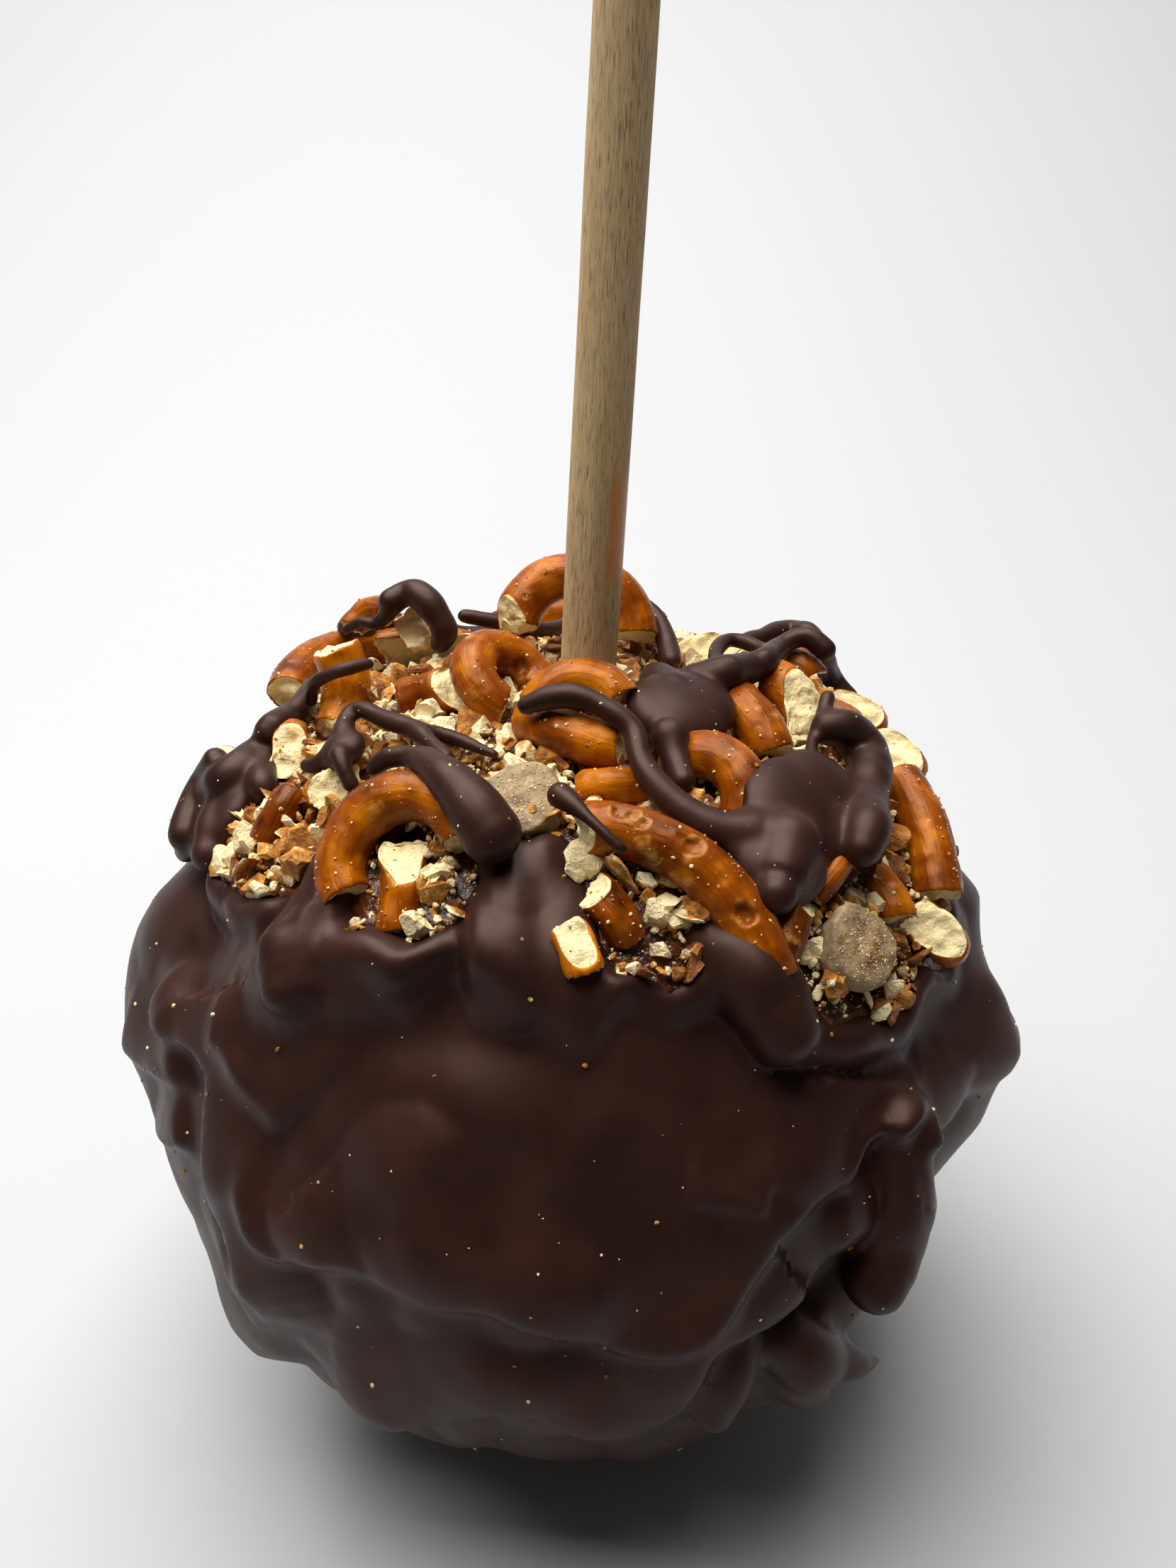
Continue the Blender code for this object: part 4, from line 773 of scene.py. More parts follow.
@dataclass(frozen=True)
class SatinChocolate:
    """Tempered dark couverture, dipped or poured and left to set: a satin skin with broad soft gloss."""

    deep: str = "#27130D"
    worn: str = "#351E17"
    sheen: str = "#FFDCCB"
    gloss: tuple = (0.40, 0.50)
    index: float = 1.46
    shine: float = 0.33
    cloud_mm: float = 7.0
    breath_mm: float = 4.0
    skin_mm: float = 0.5
    skin_depth_mm: float = 0.02

    def material(self) -> bpy.types.Material:
        """Build the node material.

        Returns:
            The finished material.
        """
        made, tree, shader = new_material("tempered_dark_chocolate")
        place = add_node(tree, "TexCoord").outputs["Object"]
        colour = ramp(tree, grain(tree, place, self.cloud_mm, 4.0), ((0.35, self.deep), (0.7, self.worn)))
        rough = spread(tree, grain(tree, place, self.breath_mm, 5.0, 0.6), (0.3, 0.7), self.gloss)
        bump = add_node(tree, "Bump", {"Height": grain(tree, place, self.skin_mm, 3.0), "Strength": 0.12,
                                       "Distance": self.skin_depth_mm * MM})
        shader.inputs["IOR"].default_value = self.index
        shader.inputs["Specular IOR Level"].default_value = self.shine
        shader.inputs["Specular Tint"].default_value = linear(self.sheen)
        connect(tree, shader, Base_Color=colour, Roughness=rough, Normal=bump.outputs["Normal"])
        return made


@dataclass(frozen=True)
class BakedPretzel:
    """Lye-dipped pretzel dough, baked hard: a shiny brown skin over a pale porous crumb."""

    golden: str = "#BB6A06"
    brown: str = "#863F02"
    dark: str = "#4C1C03"
    cream: str = "#F8E4AC"
    toast: str = "#C0913F"
    crust: str = "#B9873C"
    sheen: str = "#FFC793"
    shine: float = 0.38
    glaze: tuple = (0.17, 0.38)
    dry: float = 0.9
    patch_mm: float = 3.4
    crumb_mm: float = 2.4
    glaze_mm: float = 1.2
    pore_mm: float = 0.35
    skin_depth_mm: float = 0.14
    crumb_depth_mm: float = 0.3

    def material(self) -> bpy.types.Material:
        """Build the node material.

        Returns:
            The finished material.
        """
        made, tree, shader = new_material("baked_pretzel")
        place = add_node(tree, "TexCoord").outputs["Object"]
        along = add_node(tree, "Attribute", attribute_name="grain").outputs["Vector"]
        bake = add_node(tree, "Attribute", attribute_name="bake").outputs["Fac"]
        broken = add_node(tree, "Attribute", attribute_name="broken").outputs["Fac"]
        scar = add_node(tree, "Attribute", attribute_name="scar").outputs["Fac"]
        streak = add_node(tree, "TexNoise", {
            "Vector": along, "Scale": 2.2, "Detail": 5.0, "Roughness": 0.62}).outputs["Fac"]
        tone = shifted(tree, streak, 0.75, bake)
        tone = shifted(tree, grain(tree, place, self.patch_mm, 3.0), 1.7, tone)
        skin = ramp(tree, tone, ((0.1, self.golden), (0.55, self.brown), (1.0, self.dark)))
        skin = blend_colours(tree, spread(tree, scar, (0.25, 0.8), (0.0, 0.65)), skin, linear(self.crust))
        crumb = ramp(tree, grain(tree, place, self.crumb_mm, 2.0), ((0.22, self.toast), (0.42, self.cream)))
        edge = spread(tree, broken, (0.35, 0.6), (0.0, 1.0))
        colour = blend_colours(tree, edge, skin, crumb)
        glazed = spread(tree, grain(tree, place, self.glaze_mm, 4.0), (0.3, 0.7), self.glaze)
        rough = add_node(tree, "Mix", {0: edge, 2: glazed, 3: self.dry}).outputs[0]
        pores = grain(tree, place, self.pore_mm, 4.0, 0.65)
        relief = add_node(tree, "Mix", {0: edge, 2: streak, 3: pores}).outputs[0]
        depth = add_node(tree, "Mix", {0: edge, 2: self.skin_depth_mm * MM, 3: self.crumb_depth_mm * MM})
        bump = add_node(tree, "Bump", {"Height": relief, "Strength": 0.8, "Distance": depth.outputs[0]})
        shader.inputs["Specular IOR Level"].default_value = self.shine
        shader.inputs["Specular Tint"].default_value = linear(self.sheen)
        connect(tree, shader, Base_Color=colour, Roughness=rough, Normal=bump.outputs["Normal"])
        return made


@dataclass(frozen=True)
class PretzelCrumb:
    """Crushed pretzel: dry cream inside with toasted edges and bits of brown skin."""

    cream: str = "#F9E3AE"
    gold: str = "#CC8E30"
    skin: str = "#A8640E"
    brown: str = "#703606"
    patch_mm: float = 0.9
    pore_mm: float = 0.35
    pore_depth_mm: float = 0.45

    def material(self) -> bpy.types.Material:
        """Build the node material.

        Returns:
            The finished material.
        """
        made, tree, shader = new_material("crushed_pretzel")
        place = add_node(tree, "TexCoord").outputs["Object"]
        tone = add_node(tree, "Attribute", attribute_name="tone").outputs["Fac"]
        tone = shifted(tree, grain(tree, place, self.patch_mm, 3.0), 1.2, tone)
        colour = ramp(tree, tone, ((0.0, self.cream), (0.30, self.cream), (0.50, self.gold),
                                   (0.75, self.skin), (1.0, self.brown)))
        rough = spread(tree, tone, (0.4, 0.8), (0.9, 0.3))
        bump = add_node(tree, "Bump", {"Height": grain(tree, place, self.pore_mm, 4.0, 0.65), "Strength": 0.9,
                                       "Distance": self.pore_depth_mm * MM})
        connect(tree, shader, Base_Color=colour, Roughness=rough, Normal=bump.outputs["Normal"])
        return made


@dataclass(frozen=True)
class SoftCaramel:
    """Boiled sugar caramel, still sticky: dark amber with a wet gloss."""

    deep: str = "#241006"
    amber: str = "#6E360C"
    wet: float = 0.22
    cloud_mm: float = 2.0
    ripple_mm: float = 1.0
    ripple_depth_mm: float = 0.6

    def material(self) -> bpy.types.Material:
        """Build the node material.

        Returns:
            The finished material.
        """
        made, tree, shader = new_material("soft_caramel")
        place = add_node(tree, "TexCoord").outputs["Object"]
        colour = ramp(tree, grain(tree, place, self.cloud_mm, 4.0), ((0.35, self.deep), (0.65, self.amber)))
        bump = add_node(tree, "Bump", {"Height": grain(tree, place, self.ripple_mm, 4.0), "Strength": 0.8,
                                       "Distance": self.ripple_depth_mm * MM})
        shader.inputs["Roughness"].default_value = self.wet
        connect(tree, shader, Base_Color=colour, Normal=bump.outputs["Normal"])
        return made


@dataclass(frozen=True)
class DustedChip:
    """Moulded milk chocolate chip, dull with a coat of crumb dust."""

    cocoa: str = "#6E5840"
    dust: str = "#AE946A"
    dull: float = 0.7
    dust_mm: float = 1.5
    grit_mm: float = 0.5
    grit_depth_mm: float = 0.2

    def material(self) -> bpy.types.Material:
        """Build the node material.

        Returns:
            The finished material.
        """
        made, tree, shader = new_material("dusted_chocolate_chip")
        place = add_node(tree, "TexCoord").outputs["Object"]
        dusting = grain(tree, place, self.dust_mm, 6.0, 0.7)
        colour = ramp(tree, dusting, ((0.36, self.cocoa), (0.68, self.dust)))
        bump = add_node(tree, "Bump", {"Height": grain(tree, place, self.grit_mm, 4.0), "Strength": 0.5,
                                       "Distance": self.grit_depth_mm * MM})
        shader.inputs["Roughness"].default_value = self.dull
        connect(tree, shader, Base_Color=colour, Normal=bump.outputs["Normal"])
        return made


@dataclass(frozen=True)
class TurnedBirch:
    """Birch dowel, turned and left bare: pale tan with short dark pores along the grain."""

    pale: str = "#D2B688"
    warm: str = "#AA8A5C"
    pore: str = "#4E3A20"
    syrup: str = "#C67A10"
    bare: float = 0.72
    sticky: float = 0.25
    fibre_depth_mm: float = 0.12

    def material(self) -> bpy.types.Material:
        """Build the node material.

        Returns:
            The finished material.
        """
        made, tree, shader = new_material("turned_birch")
        along = add_node(tree, "Attribute", attribute_name="grain").outputs["Vector"]
        stain = add_node(tree, "Attribute", attribute_name="stain").outputs["Fac"]
        # The grain attribute is long along the stick, so each noise drawn on it comes out as fibres
        fibre = add_node(tree, "TexNoise", {
            "Vector": along, "Scale": 2.0, "Detail": 5.0, "Roughness": 0.7}).outputs["Fac"]
        dashes = add_node(tree, "TexNoise", {"Vector": along, "Scale": 2.6, "Detail": 2.0}).outputs["Fac"]
        broad = add_node(tree, "TexNoise", {"Vector": along, "Scale": 0.22, "Detail": 2.0}).outputs["Fac"]
        colour = ramp(tree, fibre, ((0.3, self.warm), (0.62, self.pale)))
        pore = spread(tree, dashes, (0.36, 0.43), (0.65, 0.0))
        colour = blend_colours(tree, pore, colour, linear(self.pore))
        shade = spread(tree, broad, (0.3, 0.7), (0.0, 0.45))
        colour = blend_colours(tree, shade, colour, linear(self.warm))
        colour = blend_colours(tree, stain, colour, linear(self.syrup))
        rough = spread(tree, stain, (0.0, 1.0), (self.bare, self.sticky))
        bump = add_node(tree, "Bump", {"Height": fibre, "Strength": 0.6,
                                       "Distance": self.fibre_depth_mm * MM})
        connect(tree, shader, Base_Color=colour, Roughness=rough, Normal=bump.outputs["Normal"])
        return made


@dataclass(frozen=True)
class StudioPaper:
    """Matt background paper: pale, with painted shade that darkens its front end, by metres ahead, in place
    of a dark floor in front for the coat to reflect.
    """

    pale: str = "#B4B4B4"
    painted_shade: str = "#6E6E6E"
    change: tuple = (-0.17, -0.04)
    matt: float = 0.95
    shine: float = 0.1

    def material(self) -> bpy.types.Material:
        """Build the node material.

        Returns:
            The finished material.
        """
        made, tree, shader = new_material("studio_paper")
        place = add_node(tree, "TexCoord").outputs["Object"]
        ahead = add_node(tree, "SeparateXYZ", {0: place}).outputs["Y"]
        # Painted shade: the paper's colour darkens towards the front, standing in for less light falling
        # there
        share = spread(tree, ahead, self.change, (0.0, 1.0))
        shader.inputs["Roughness"].default_value = self.matt
        shader.inputs["Specular IOR Level"].default_value = self.shine
        connect(tree, shader, Base_Color=ramp(tree, share, ((0.0, self.painted_shade), (1.0, self.pale))))
        return made


@dataclass
class Finishes:
    """One material for each real finish, shared by the pieces that have it."""

    chocolate: bpy.types.Material = field(default_factory=lambda: SatinChocolate().material())
    pretzel: bpy.types.Material = field(default_factory=lambda: BakedPretzel().material())
    crumb: bpy.types.Material = field(default_factory=lambda: PretzelCrumb().material())
    caramel: bpy.types.Material = field(default_factory=lambda: SoftCaramel().material())
    chip: bpy.types.Material = field(default_factory=lambda: DustedChip().material())
    wood: bpy.types.Material = field(default_factory=lambda: TurnedBirch().material())
    paper: bpy.types.Material = field(default_factory=lambda: StudioPaper().material())


def dress(piece: bpy.types.Object, surface: bpy.types.Material, slot: Slot, *nodes: str) -> None:
    """Give a piece its material and say what it rides on and stands for.

    Args:
        piece: Finished object.
        surface: Its material.
        slot: The record's slot; not used.
        nodes: CAD nodes that it replaces.
    """
    piece.data.materials.clear()
    piece.data.materials.append(surface)
    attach(piece, BODY)
    if nodes:
        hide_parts(*nodes)
    LOG.info("%s: %d faces", piece.name, len(piece.data.polygons))


class Arc:
    """Circle arc through three points, the centre line of a pretzel strand."""

    def __init__(self, start: tuple, crown: tuple, end: tuple) -> None:
        """Work out the circle.

        Args:
            start: First point in millimetres.
            crown: A point between the ends.
            end: Last point.
        """
        start, crown, end = (np.array(point, dtype=float) for point in (start, crown, end))
        normal = np.cross(crown - start, end - start)
        if np.linalg.norm(normal) < 0.5:
            crown = crown + np.cross(end - start, (0.0, 0.0, 1.0)) * 0.04
            normal = np.cross(crown - start, end - start)
        first = crown - start
        second = end - start
        self.centre = start + (first.dot(first) * np.cross(second, normal)
                               + second.dot(second) * np.cross(normal, first)) / (2.0 * normal.dot(normal))
        self.normal = normal / np.linalg.norm(normal)
        self.radius = float(np.linalg.norm(start - self.centre))
        self.across = (start - self.centre) / self.radius
        self.ahead = np.cross(self.normal, self.across)
        spoke = end - self.centre
        self.sweep = math.atan2(spoke.dot(self.ahead), spoke.dot(self.across)) % math.tau
        self.length = self.radius * self.sweep

    def at(self, share: np.ndarray) -> np.ndarray:
        """Points at shares of the way along the arc."""
        turn = np.atleast_1d(share)[:, None] * self.sweep
        return self.centre + self.radius * (self.across * np.cos(turn) + self.ahead * np.sin(turn))

    def tangent(self, share: float) -> np.ndarray:
        """Unit direction of travel at a share of the way along."""
        turn = share * self.sweep
        return self.ahead * math.cos(turn) - self.across * math.sin(turn)

    def coordinates(self, points: np.ndarray) -> tuple[np.ndarray, np.ndarray, np.ndarray, np.ndarray]:
        """Place of points in the strand's own terms.

        Args:
            points: One point a row.

        Returns:
            Length along the arc, turn round the strand, distance from its centre line, and the
            nearest points of the centre line.
        """
        rest = points - self.centre
        turn = np.arctan2(rest @ self.ahead, rest @ self.across)
        half = self.sweep / 2.0
        turn = (turn - half + math.pi) % math.tau - math.pi + half
        held = np.clip(turn, 0.0, self.sweep)
        spoke = self.across * np.cos(held)[:, None] + self.ahead * np.sin(held)[:, None]
        line = self.centre + self.radius * spoke
        offset = points - line
        outwards = np.einsum("ij,ij->i", offset, spoke)
        lift = offset @ self.normal
        return turn * self.radius, np.arctan2(lift, outwards), np.hypot(outwards, lift), line


def strand_lines(count: int) -> list[tuple]:
    """Centre line of each pretzel piece, as so many points, with its thickness.

    Args:
        count: Number of points on each line.

    Returns:
        The points, one a row, and the thickness of each piece.
    """
    lines = []
    for piece in STRANDS:
        arc = Arc(piece.start, piece.crown, piece.end)
        lines.append((arc.at(np.linspace(0.0, 1.0, count)), piece.strand))
    return lines


@dataclass
class PretzelPieces:
    """The broken pretzel pieces, each a strand of dough with broken ends and faces."""

    sides: int = 20
    voxel: float = 0.26
    swell: float = 0.07
    dimple: float = 0.14
    end_depth: float = 1.0
    face_depth: float = 0.75
    chip_length: float = 8.0
    chip_share: float = 4.0
    step: float = 0.8
    blisters: float = 0.22
    blister_sizes: tuple = (0.25, 0.55)
    blister_depths: tuple = (-0.08, -0.05, 0.12)
    crater_ring: float = 0.07
    grain_along: float = 0.10
    grain_round: float = 1.6

    def sweep(self, piece: Strand, arc: Arc) -> bpy.types.Object:
        """Spin the strand's round section along its arc and close both ends.

        Args:
            piece: The strand's sizes.
            arc: Its centre line.

        Returns:
            The closed body.
        """
        deselect_all()
        heading = Vector(arc.tangent(0.0)).to_track_quat("Z", "Y").to_euler()
        start = arc.at(0.0)[0]
        bpy.ops.mesh.primitive_circle_add(
            vertices=self.sides, radius=piece.strand / 2.0 * MM, location=Vector(start) * MM,
            rotation=heading)
        made = take(piece.name)
        settle(made)
        bpy.ops.object.mode_set(mode="EDIT")
        bpy.ops.mesh.select_all(action="SELECT")
        bpy.ops.mesh.spin(steps=max(round(arc.length / self.step), 4), angle=-arc.sweep,
                          center=Vector(arc.centre) * MM, axis=Vector(arc.normal))
        bpy.ops.mesh.select_all(action="SELECT")
        bpy.ops.mesh.fill_holes(sides=0)
        bpy.ops.mesh.normals_make_consistent(inside=False)
        bpy.ops.object.mode_set(mode="OBJECT")
        return made

    def scars(self, piece: Strand, arc: Arc) -> list[Scar]:
        """The piece's own scars and some small blisters at random.

        Args:
            piece: The strand's sizes.
            arc: Its centre line.

        Returns:
            All the scars of this piece.
        """
        scars = [scar for scar in SCARS if scar.piece == piece.name]
        draw = random.Random(piece.name)
        for _ in range(round(arc.length * self.blisters)):
            middle = arc.at(draw.random())[0]
            turn = draw.uniform(0.0, math.tau)
            way = math.cos(turn) * (middle - arc.centre) / arc.radius + math.sin(turn) * arc.normal
            scars.append(Scar(piece.name, tuple(middle + way * piece.strand / 2.0),
                              draw.uniform(*self.blister_sizes), draw.choice(self.blister_depths)))
        return scars

    def shape(self, piece: Strand, arc: Arc, made: bpy.types.Object, seed: float) -> None:
        """Swell the dough, break its ends and faces, and note where its crumb shows.

        Args:
            piece: The strand's sizes.
            arc: Its centre line.
            made: The swept body, with an even skin.
            seed: Number that makes this piece its own.
        """
        points = points_of(made)
        along, around, reach, line = arc.coordinates(points)
        radius = piece.strand / 2.0
        out = (points - line) / np.maximum(reach, 1e-3)[:, None]
        uneven = self.swell * (self.chip_share if arc.length < self.chip_length else 1.0)
        swell = uneven * noise_at(points, 5.0, seed) + 0.5 * uneven * noise_at(points, 2.4, seed)
        wrinkle = self.dimple * np.minimum(noise_at(points, 1.3, seed + 3.0), 0.0)
        side = ease((reach / radius - 0.55) / 0.4)
        points = points + out * ((swell * radius + wrinkle) * side)[:, None]
        broken = np.zeros(len(points))
        coarse = noise_at(points, 1.9, seed + 5.0)
        fine = noise_at(points, 0.8, seed + 6.0)
        for edge, way in ((0.0, -arc.tangent(0.0)), (arc.length, arc.tangent(1.0))):
            gap = np.abs(along - edge)
            face = ease(1.0 - gap / 0.7) * ease((1.02 - reach / radius) / 0.25)
            depth = self.end_depth * (coarse - 0.3) + 0.4 * self.end_depth * fine
            points = points + way * (face * depth)[:, None]
            broken = np.maximum(broken, face)
        for share, right, up, toward, depth in piece.breaks:
            way = facing(right, up, toward)
            over = (points - arc.at(share)[0]) @ way - depth * radius + 0.25 * coarse
            cut = ease(over / 0.35)
            rough = self.face_depth * (0.9 * coarse + 0.25 * fine)
            points = points - way * (np.maximum(over, 0.0) - cut * rough)[:, None]
            broken = np.maximum(broken, cut)
        crust = np.zeros(len(points))
        for scar in self.scars(piece, arc):
            away = np.linalg.norm(points - np.array(scar.place), axis=1) / scar.radius
            away *= 1.0 + 0.35 * noise_at(points, 0.9, seed + 12.0)
            ring = np.exp(-((away - 1.0) / 0.28) ** 2) * (0.5 + noise_at(points, 0.8, seed + 14.0))
            bowl = np.exp(-(away / 0.75) ** 4)
            points = points + out * (self.crater_ring * ring - scar.depth * bowl)[:, None]
            crust = np.maximum(crust, np.maximum(0.9 * ring, (0.75 if scar.depth < 0.0 else 0.4) * bowl))
        place_points(made, points)
        # Wrinkles of the skin run along the strand, so the pattern is drawn out that way
        grain_place = np.stack((along * self.grain_along, np.cos(around) * self.grain_round,
                                np.sin(around) * self.grain_round), axis=1)
        mark(made, "grain", grain_place + seed * 3.1)
        mark(made, "scar", crust * (1.0 - broken))
        mark(made, "broken", broken)
        mark(made, "bake", piece.bake + 0.12 * noise_at(points, 6.0, seed + 9.0))

    def build(self, finishes: Finishes) -> list[bpy.types.Object]:
        """Make every piece.

        Args:
            finishes: Materials.

        Returns:
            The pieces.
        """
        made = []
        for number, piece in enumerate(STRANDS):
            arc = Arc(piece.start, piece.crown, piece.end)
            body = self.sweep(piece, arc)
            voxel_skin(body, self.voxel, 2)
            self.shape(piece, arc, body, float(number))
            smooth_shading(body)
            body.name = piece.name + "_baked"
            dress(body, finishes.pretzel, Slot.PRETZEL, piece.name)
            made.append(body)
        return made


@dataclass
class ChocolateChips:
    """Two chocolate chips: squat lumpy drops, worn flat."""

    voxel: float = 0.25
    squat: float = 0.78
    flat: float = 0.28
    raised: float = 0.7
    grown: float = 1.1

    def build(self, finishes: Finishes) -> list[bpy.types.Object]:
        """Make both chips.

        Args:
            finishes: Materials.

        Returns:
            The chips.
        """
        made = []
        for number, chip in enumerate(CHIPS):
            deselect_all()
            place = np.array(chip.place)
            lean = Vector(place - MIDDLE).to_track_quat("Z", "Y").to_euler()
            bpy.ops.mesh.primitive_uv_sphere_add(
                segments=32, ring_count=20, radius=chip.radius * MM, location=Vector(place) * MM,
                rotation=lean, scale=(1.0, 1.0, self.squat))
            drop = take(chip.name + "_dusted")
            settle(drop)
            voxel_skin(drop, self.voxel, 2)
            points = points_of(drop)
            way = (place - MIDDLE) / np.linalg.norm(place - MIDDLE)
            rise = (points - place) @ way
            level = self.flat * chip.radius * (1.0 + 0.25 * noise_at(points, 3.5, number + 4.0))
            over = np.maximum(rise - level, 0.0)
            points = points - way * (over * 0.85)[:, None]
            spoke = points - place
            lumps = noise_at(spoke / np.linalg.norm(spoke, axis=1)[:, None], 0.7, number + 2.0)
            swell = self.grown - 1.0 + 0.2 * lumps
            points = points + spoke * swell[:, None] + way * self.raised
            relief = 0.16 * noise_at(points, 2.2, number + 0.5) + 0.1 * noise_at(points, 0.9, number + 1.5)
            place_points(drop, points + normals_of(drop) * relief[:, None])
            smooth_shading(drop)
            dress(drop, finishes.chip, Slot.CHIP, chip.name)
            made.append(drop)
        return made


def curve_through(points: Sequence[tuple], count: int) -> np.ndarray:
    """Rows of (x, y, z, thickness) along a smooth curve through such points.

    Args:
        points: Rows of (x, y, z, thickness), or of angles.
        count: Number of rows wanted.

    Returns:
        The rows along the curve.
    """
    rows = np.array(points, dtype=float)
    rows = np.vstack((rows[0] * 2.0 - rows[1], rows, rows[-1] * 2.0 - rows[-2]))
    steps = np.linspace(0.0, len(points) - 1.0, count)
    index = np.minimum(steps.astype(int), len(points) - 2)
    t = (steps - index)[:, None]
    a, b, c, d = (rows[index + shift] for shift in range(4))
    return 0.5 * (2.0 * b + (c - a) * t + (2.0 * a - 5.0 * b + 4.0 * c - d) * t * t
                  + (3.0 * b - a - 3.0 * c + d) * t ** 3)


@dataclass
class Drizzle:
    """Chocolate poured over the topping in ropes, pools and drops."""

    voxel: float = 0.27
    step: float = 0.5
    sink: float = 0.22
    wobble: float = 0.16
    passes: int = 8
    pool_passes: int = 22
    line_points: int = 25
    tries: int = 60
    push: float = 0.1

    def laid(self, rope: np.ndarray, lines: Sequence[tuple]) -> np.ndarray:
        """Push a rope outwards until it lies on the pretzel pieces below it.

        Args:
            rope: Rows of (x, y, z, thickness).
            lines: Centre line and thickness of each pretzel piece.

        Returns:
            The rows, moved.
        """
        moved = rope.copy()
        for row in moved:
            for _ in range(self.tries):
                if all(np.min(np.linalg.norm(line - row[:3], axis=1)) >= strand / 2.0 + row[3] * self.sink
                       for line, strand in lines):
                    break
                row[:3] += OUTWARD * self.push
        padded = np.vstack((moved[:1], moved[:1], moved, moved[-1:], moved[-1:]))
        return sum(padded[shift:len(padded) - 4 + shift] for shift in range(5)) / 5.0

    def rope(self, rows: np.ndarray, name: str) -> bpy.types.Object:
        """One rope as a bevelled curve turned into a mesh.

        Args:
            rows: Rows of (x, y, z, thickness) in millimetres.
            name: Name of the object.

        Returns:
            The rope.
        """
        data = bpy.data.curves.new(name, "CURVE")
        data.dimensions = "3D"
        data.bevel_depth = MM
        data.bevel_resolution = 5
        data.use_fill_caps = True
        spline = data.splines.new("POLY")
        spline.points.add(len(rows) - 1)
        for point, row in zip(spline.points, rows):
            point.co = (*(row[:3] * MM), 1.0)
            point.radius = row[3] / 2.0
        made = bpy.data.objects.new(name, data)
        bpy.context.scene.collection.objects.link(made)
        only(made)
        bpy.ops.object.convert(target="MESH")
        return take(name)

    def drop(self, middle: tuple, radius: float, depth: float, name: str) -> bpy.types.Object:
        """A flattened drop lying on the dome.

        Args:
            middle: Place of its middle in millimetres.
            radius: Half its width.
            depth: Its thickness across the dome.
            name: Name of the object.

        Returns:
            The drop.
        """
        deselect_all()
        lean = Vector(np.array(middle) - MIDDLE).to_track_quat("Z", "Y").to_euler()
        bpy.ops.mesh.primitive_uv_sphere_add(
            segments=24, ring_count=16, radius=MM, location=Vector(middle) * MM, rotation=lean,
            scale=(radius, radius, depth / 2.0))
        made = take(name)
        settle(made)
        return made

    def capped(self, rows: np.ndarray, name: str) -> list[bpy.types.Object]:
        """A rope with a round drop at each end.

        Args:
            rows: Rows of (x, y, z, thickness) in millimetres.
            name: Name of the objects.

        Returns:
            The rope and its two drops.
        """
        rope = self.rope(rows, name)
        ends = [self.drop(tuple(end[:3]), end[3] / 2.0, end[3], name) for end in (rows[0], rows[-1])]
        return [rope, *ends]

    def build(self, finishes: Finishes) -> list[bpy.types.Object]:
        """Make every pour.

        Args:
            finishes: Materials.

        Returns:
            The pours.
        """
        lines = strand_lines(self.line_points)
        made = []
        for number, pour in enumerate(POURS):
            parts = []
            for rope in pour.ropes:
                raw = np.array(rope)[:, :3]
                length = float(np.linalg.norm(np.diff(raw, axis=0), axis=1).sum())
                rows = self.laid(curve_through(rope, max(round(length / self.step), 6)), lines)
                rows[:, 3] *= 1.0 + self.wobble * noise_at(rows[:, :3], 2.2, number)
                parts += self.capped(rows, pour.name)
            for middle, radius, depth in pour.drops:
                parts.append(self.drop(middle, radius, depth, pour.name))
            body = join(parts, pour.name + "_poured")
            voxel_skin(body, self.voxel, self.pool_passes if len(pour.drops) > 2 else self.passes)
            smooth_shading(body)
            dress(body, finishes.chocolate, Slot.CHOCOLATE, pour.name)
            made.append(body)
        return made


